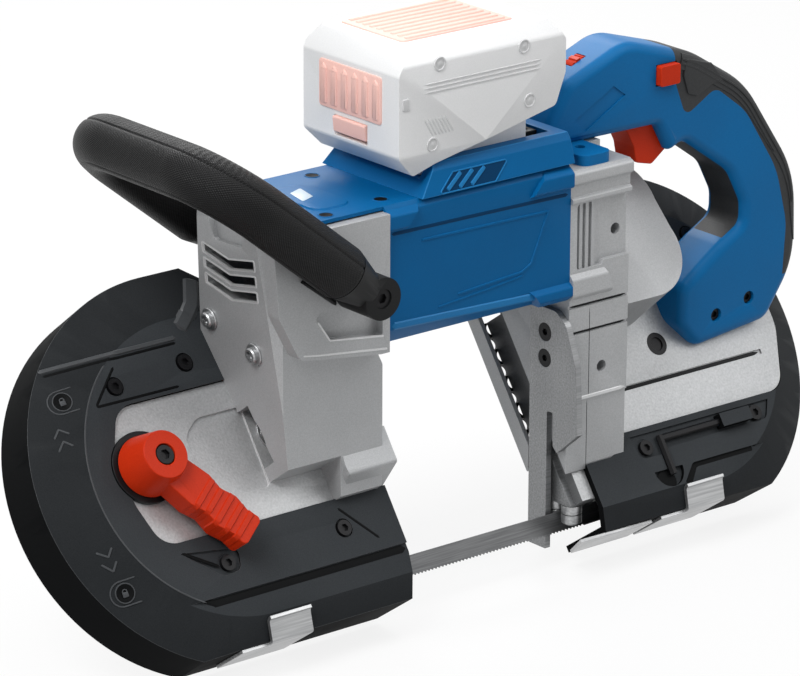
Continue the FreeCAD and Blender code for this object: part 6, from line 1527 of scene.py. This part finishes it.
@dataclass(frozen=True)
class Lamp:
    """One soft area light, by its place round the object."""

    name: str
    azimuth: float
    elevation: float
    distance: float
    size: float
    power: float

    def build(self, target: Vector) -> None:
        """Add the light, pointing at a target.

        Args:
            target: The object's middle.
        """
        azimuth = math.radians(self.azimuth)
        elevation = math.radians(self.elevation)
        level = math.cos(elevation)
        way = Vector((math.sin(azimuth) * level, -math.cos(azimuth) * level, math.sin(elevation)))
        data = bpy.data.lights.new(self.name, "AREA")
        data.energy = self.power
        data.size = self.size
        light = bpy.data.objects.new(self.name, data)
        light.location = target + way * self.distance
        light.rotation_euler = way.to_track_quat("Z", "Y").to_euler()
        bpy.context.scene.collection.objects.link(light)


@dataclass(frozen=True)
class Studio:
    """Pale floor, white surroundings and soft lamps."""

    lamps: tuple[Lamp, ...] = (
        Lamp("key_light", 45.0, 44.0, 1.7, 1.1, 9.0),
        Lamp("left_light", -76.0, 46.0, 1.8, 0.9, 23.0),
        Lamp("top_light", -10.0, 80.0, 1.6, 1.0, 7.5),
        Lamp("rear_light", 155.0, 40.0, 1.8, 1.0, 17.0),
    )
    ambient: float = 0.2
    floor_half: float = 6.0
    floor_gap: float = 0.002
    floor_colour: tuple[float, ...] = (0.5, 0.5, 0.5, 1.0)
    floor_roughness: float = 0.8
    glow: float = 1.12
    glow_share: float = 0.76

    def build(self, floor_z: float) -> None:
        """Make the floor, the world and the lamps.

        Args:
            floor_z: Height of the object's lowest point.
        """
        self._world()
        self._floor(floor_z)
        low, high = (Vector(corner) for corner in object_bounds())
        for lamp in self.lamps:
            lamp.build((low + high) / 2)

    def _seen(self, kit: Nodes) -> Socket:
        """Give 1 to camera, glossy and transmission rays, and 0 to the others.

        Args:
            kit: The tree's helper.

        Returns:
            The value.
        """
        path = kit.add("ShaderNodeLightPath").outputs
        mirrored = kit.sum("MAXIMUM", path["Is Glossy Ray"], path["Is Transmission Ray"])
        return kit.sum("MAXIMUM", path["Is Camera Ray"], mirrored)

    def _world(self) -> None:
        """White to the camera and to reflections, dimmer as a light."""
        world = bpy.data.worlds.new("studio")
        world.use_nodes = True
        bpy.context.scene.world = world
        kit = Nodes(world.node_tree)
        levels = {"Value": self._seen(kit), "To Min": self.ambient, "To Max": 1.0}
        strength = kit.add("ShaderNodeMapRange", levels).outputs["Result"]
        kit.feed(world.node_tree.nodes["Background"], {"Color": WHITE, "Strength": strength})

    def _floor(self, floor_z: float) -> None:
        """Pale floor under the tool, near white to the camera, that keeps a soft shadow.

        Args:
            floor_z: Height of the object's lowest point.
        """
        half = self.floor_half
        corners = [(x, y, floor_z - self.floor_gap) for x, y in oblong(-half, -half, half, half)]
        mesh = bpy.data.meshes.new("floor")
        mesh.from_pydata(corners, [], [(0, 1, 2, 3)])
        floor = bpy.data.objects.new("floor", mesh)
        bpy.context.scene.collection.objects.link(floor)
        material = bpy.data.materials.new("floor_white")
        material.use_nodes = True
        nodes = material.node_tree.nodes
        kit = Nodes(material.node_tree)
        shader = nodes["Principled BSDF"]
        kit.feed(shader, {"Base Color": self.floor_colour, "Roughness": self.floor_roughness})
        glow = kit.add("ShaderNodeEmission", {"Strength": self.glow})
        share = kit.sum("MULTIPLY", self._seen(kit), self.glow_share)
        mix = kit.add("ShaderNodeMixShader", {0: share, 1: shader.outputs[0], 2: glow.outputs[0]})
        kit.feed(nodes["Material Output"], {"Surface": mix.outputs[0]})
        mesh.materials.append(material)
        floor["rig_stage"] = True


def main() -> None:
    """Load the frame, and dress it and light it."""
    logging.basicConfig(level=logging.INFO)
    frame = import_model()
    cad_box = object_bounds()
    bpy.context.scene.view_settings.view_transform = "Standard"
    idler = next(joint for joint in frame["joints"] if joint["name"] == IDLER_JOINT)
    lean = Lean(np.array(idler["pos_m"]), np.array(idler["axis"]))
    shop = Dresser(frame, Palette(Effects()), lean)
    shop.dress_all()
    for group in (CoverMarks(), ColumnGrooveShade(), LeverRidges(), CastingFittings(), HousingRelief(), FrontGrip(),
                  RearGrip(), BatteryDress()):
        group.build(shop)
    Viewpoint().build(lean)
    Studio().build(cad_box[0][2])


if __name__ == "__main__":
    main()
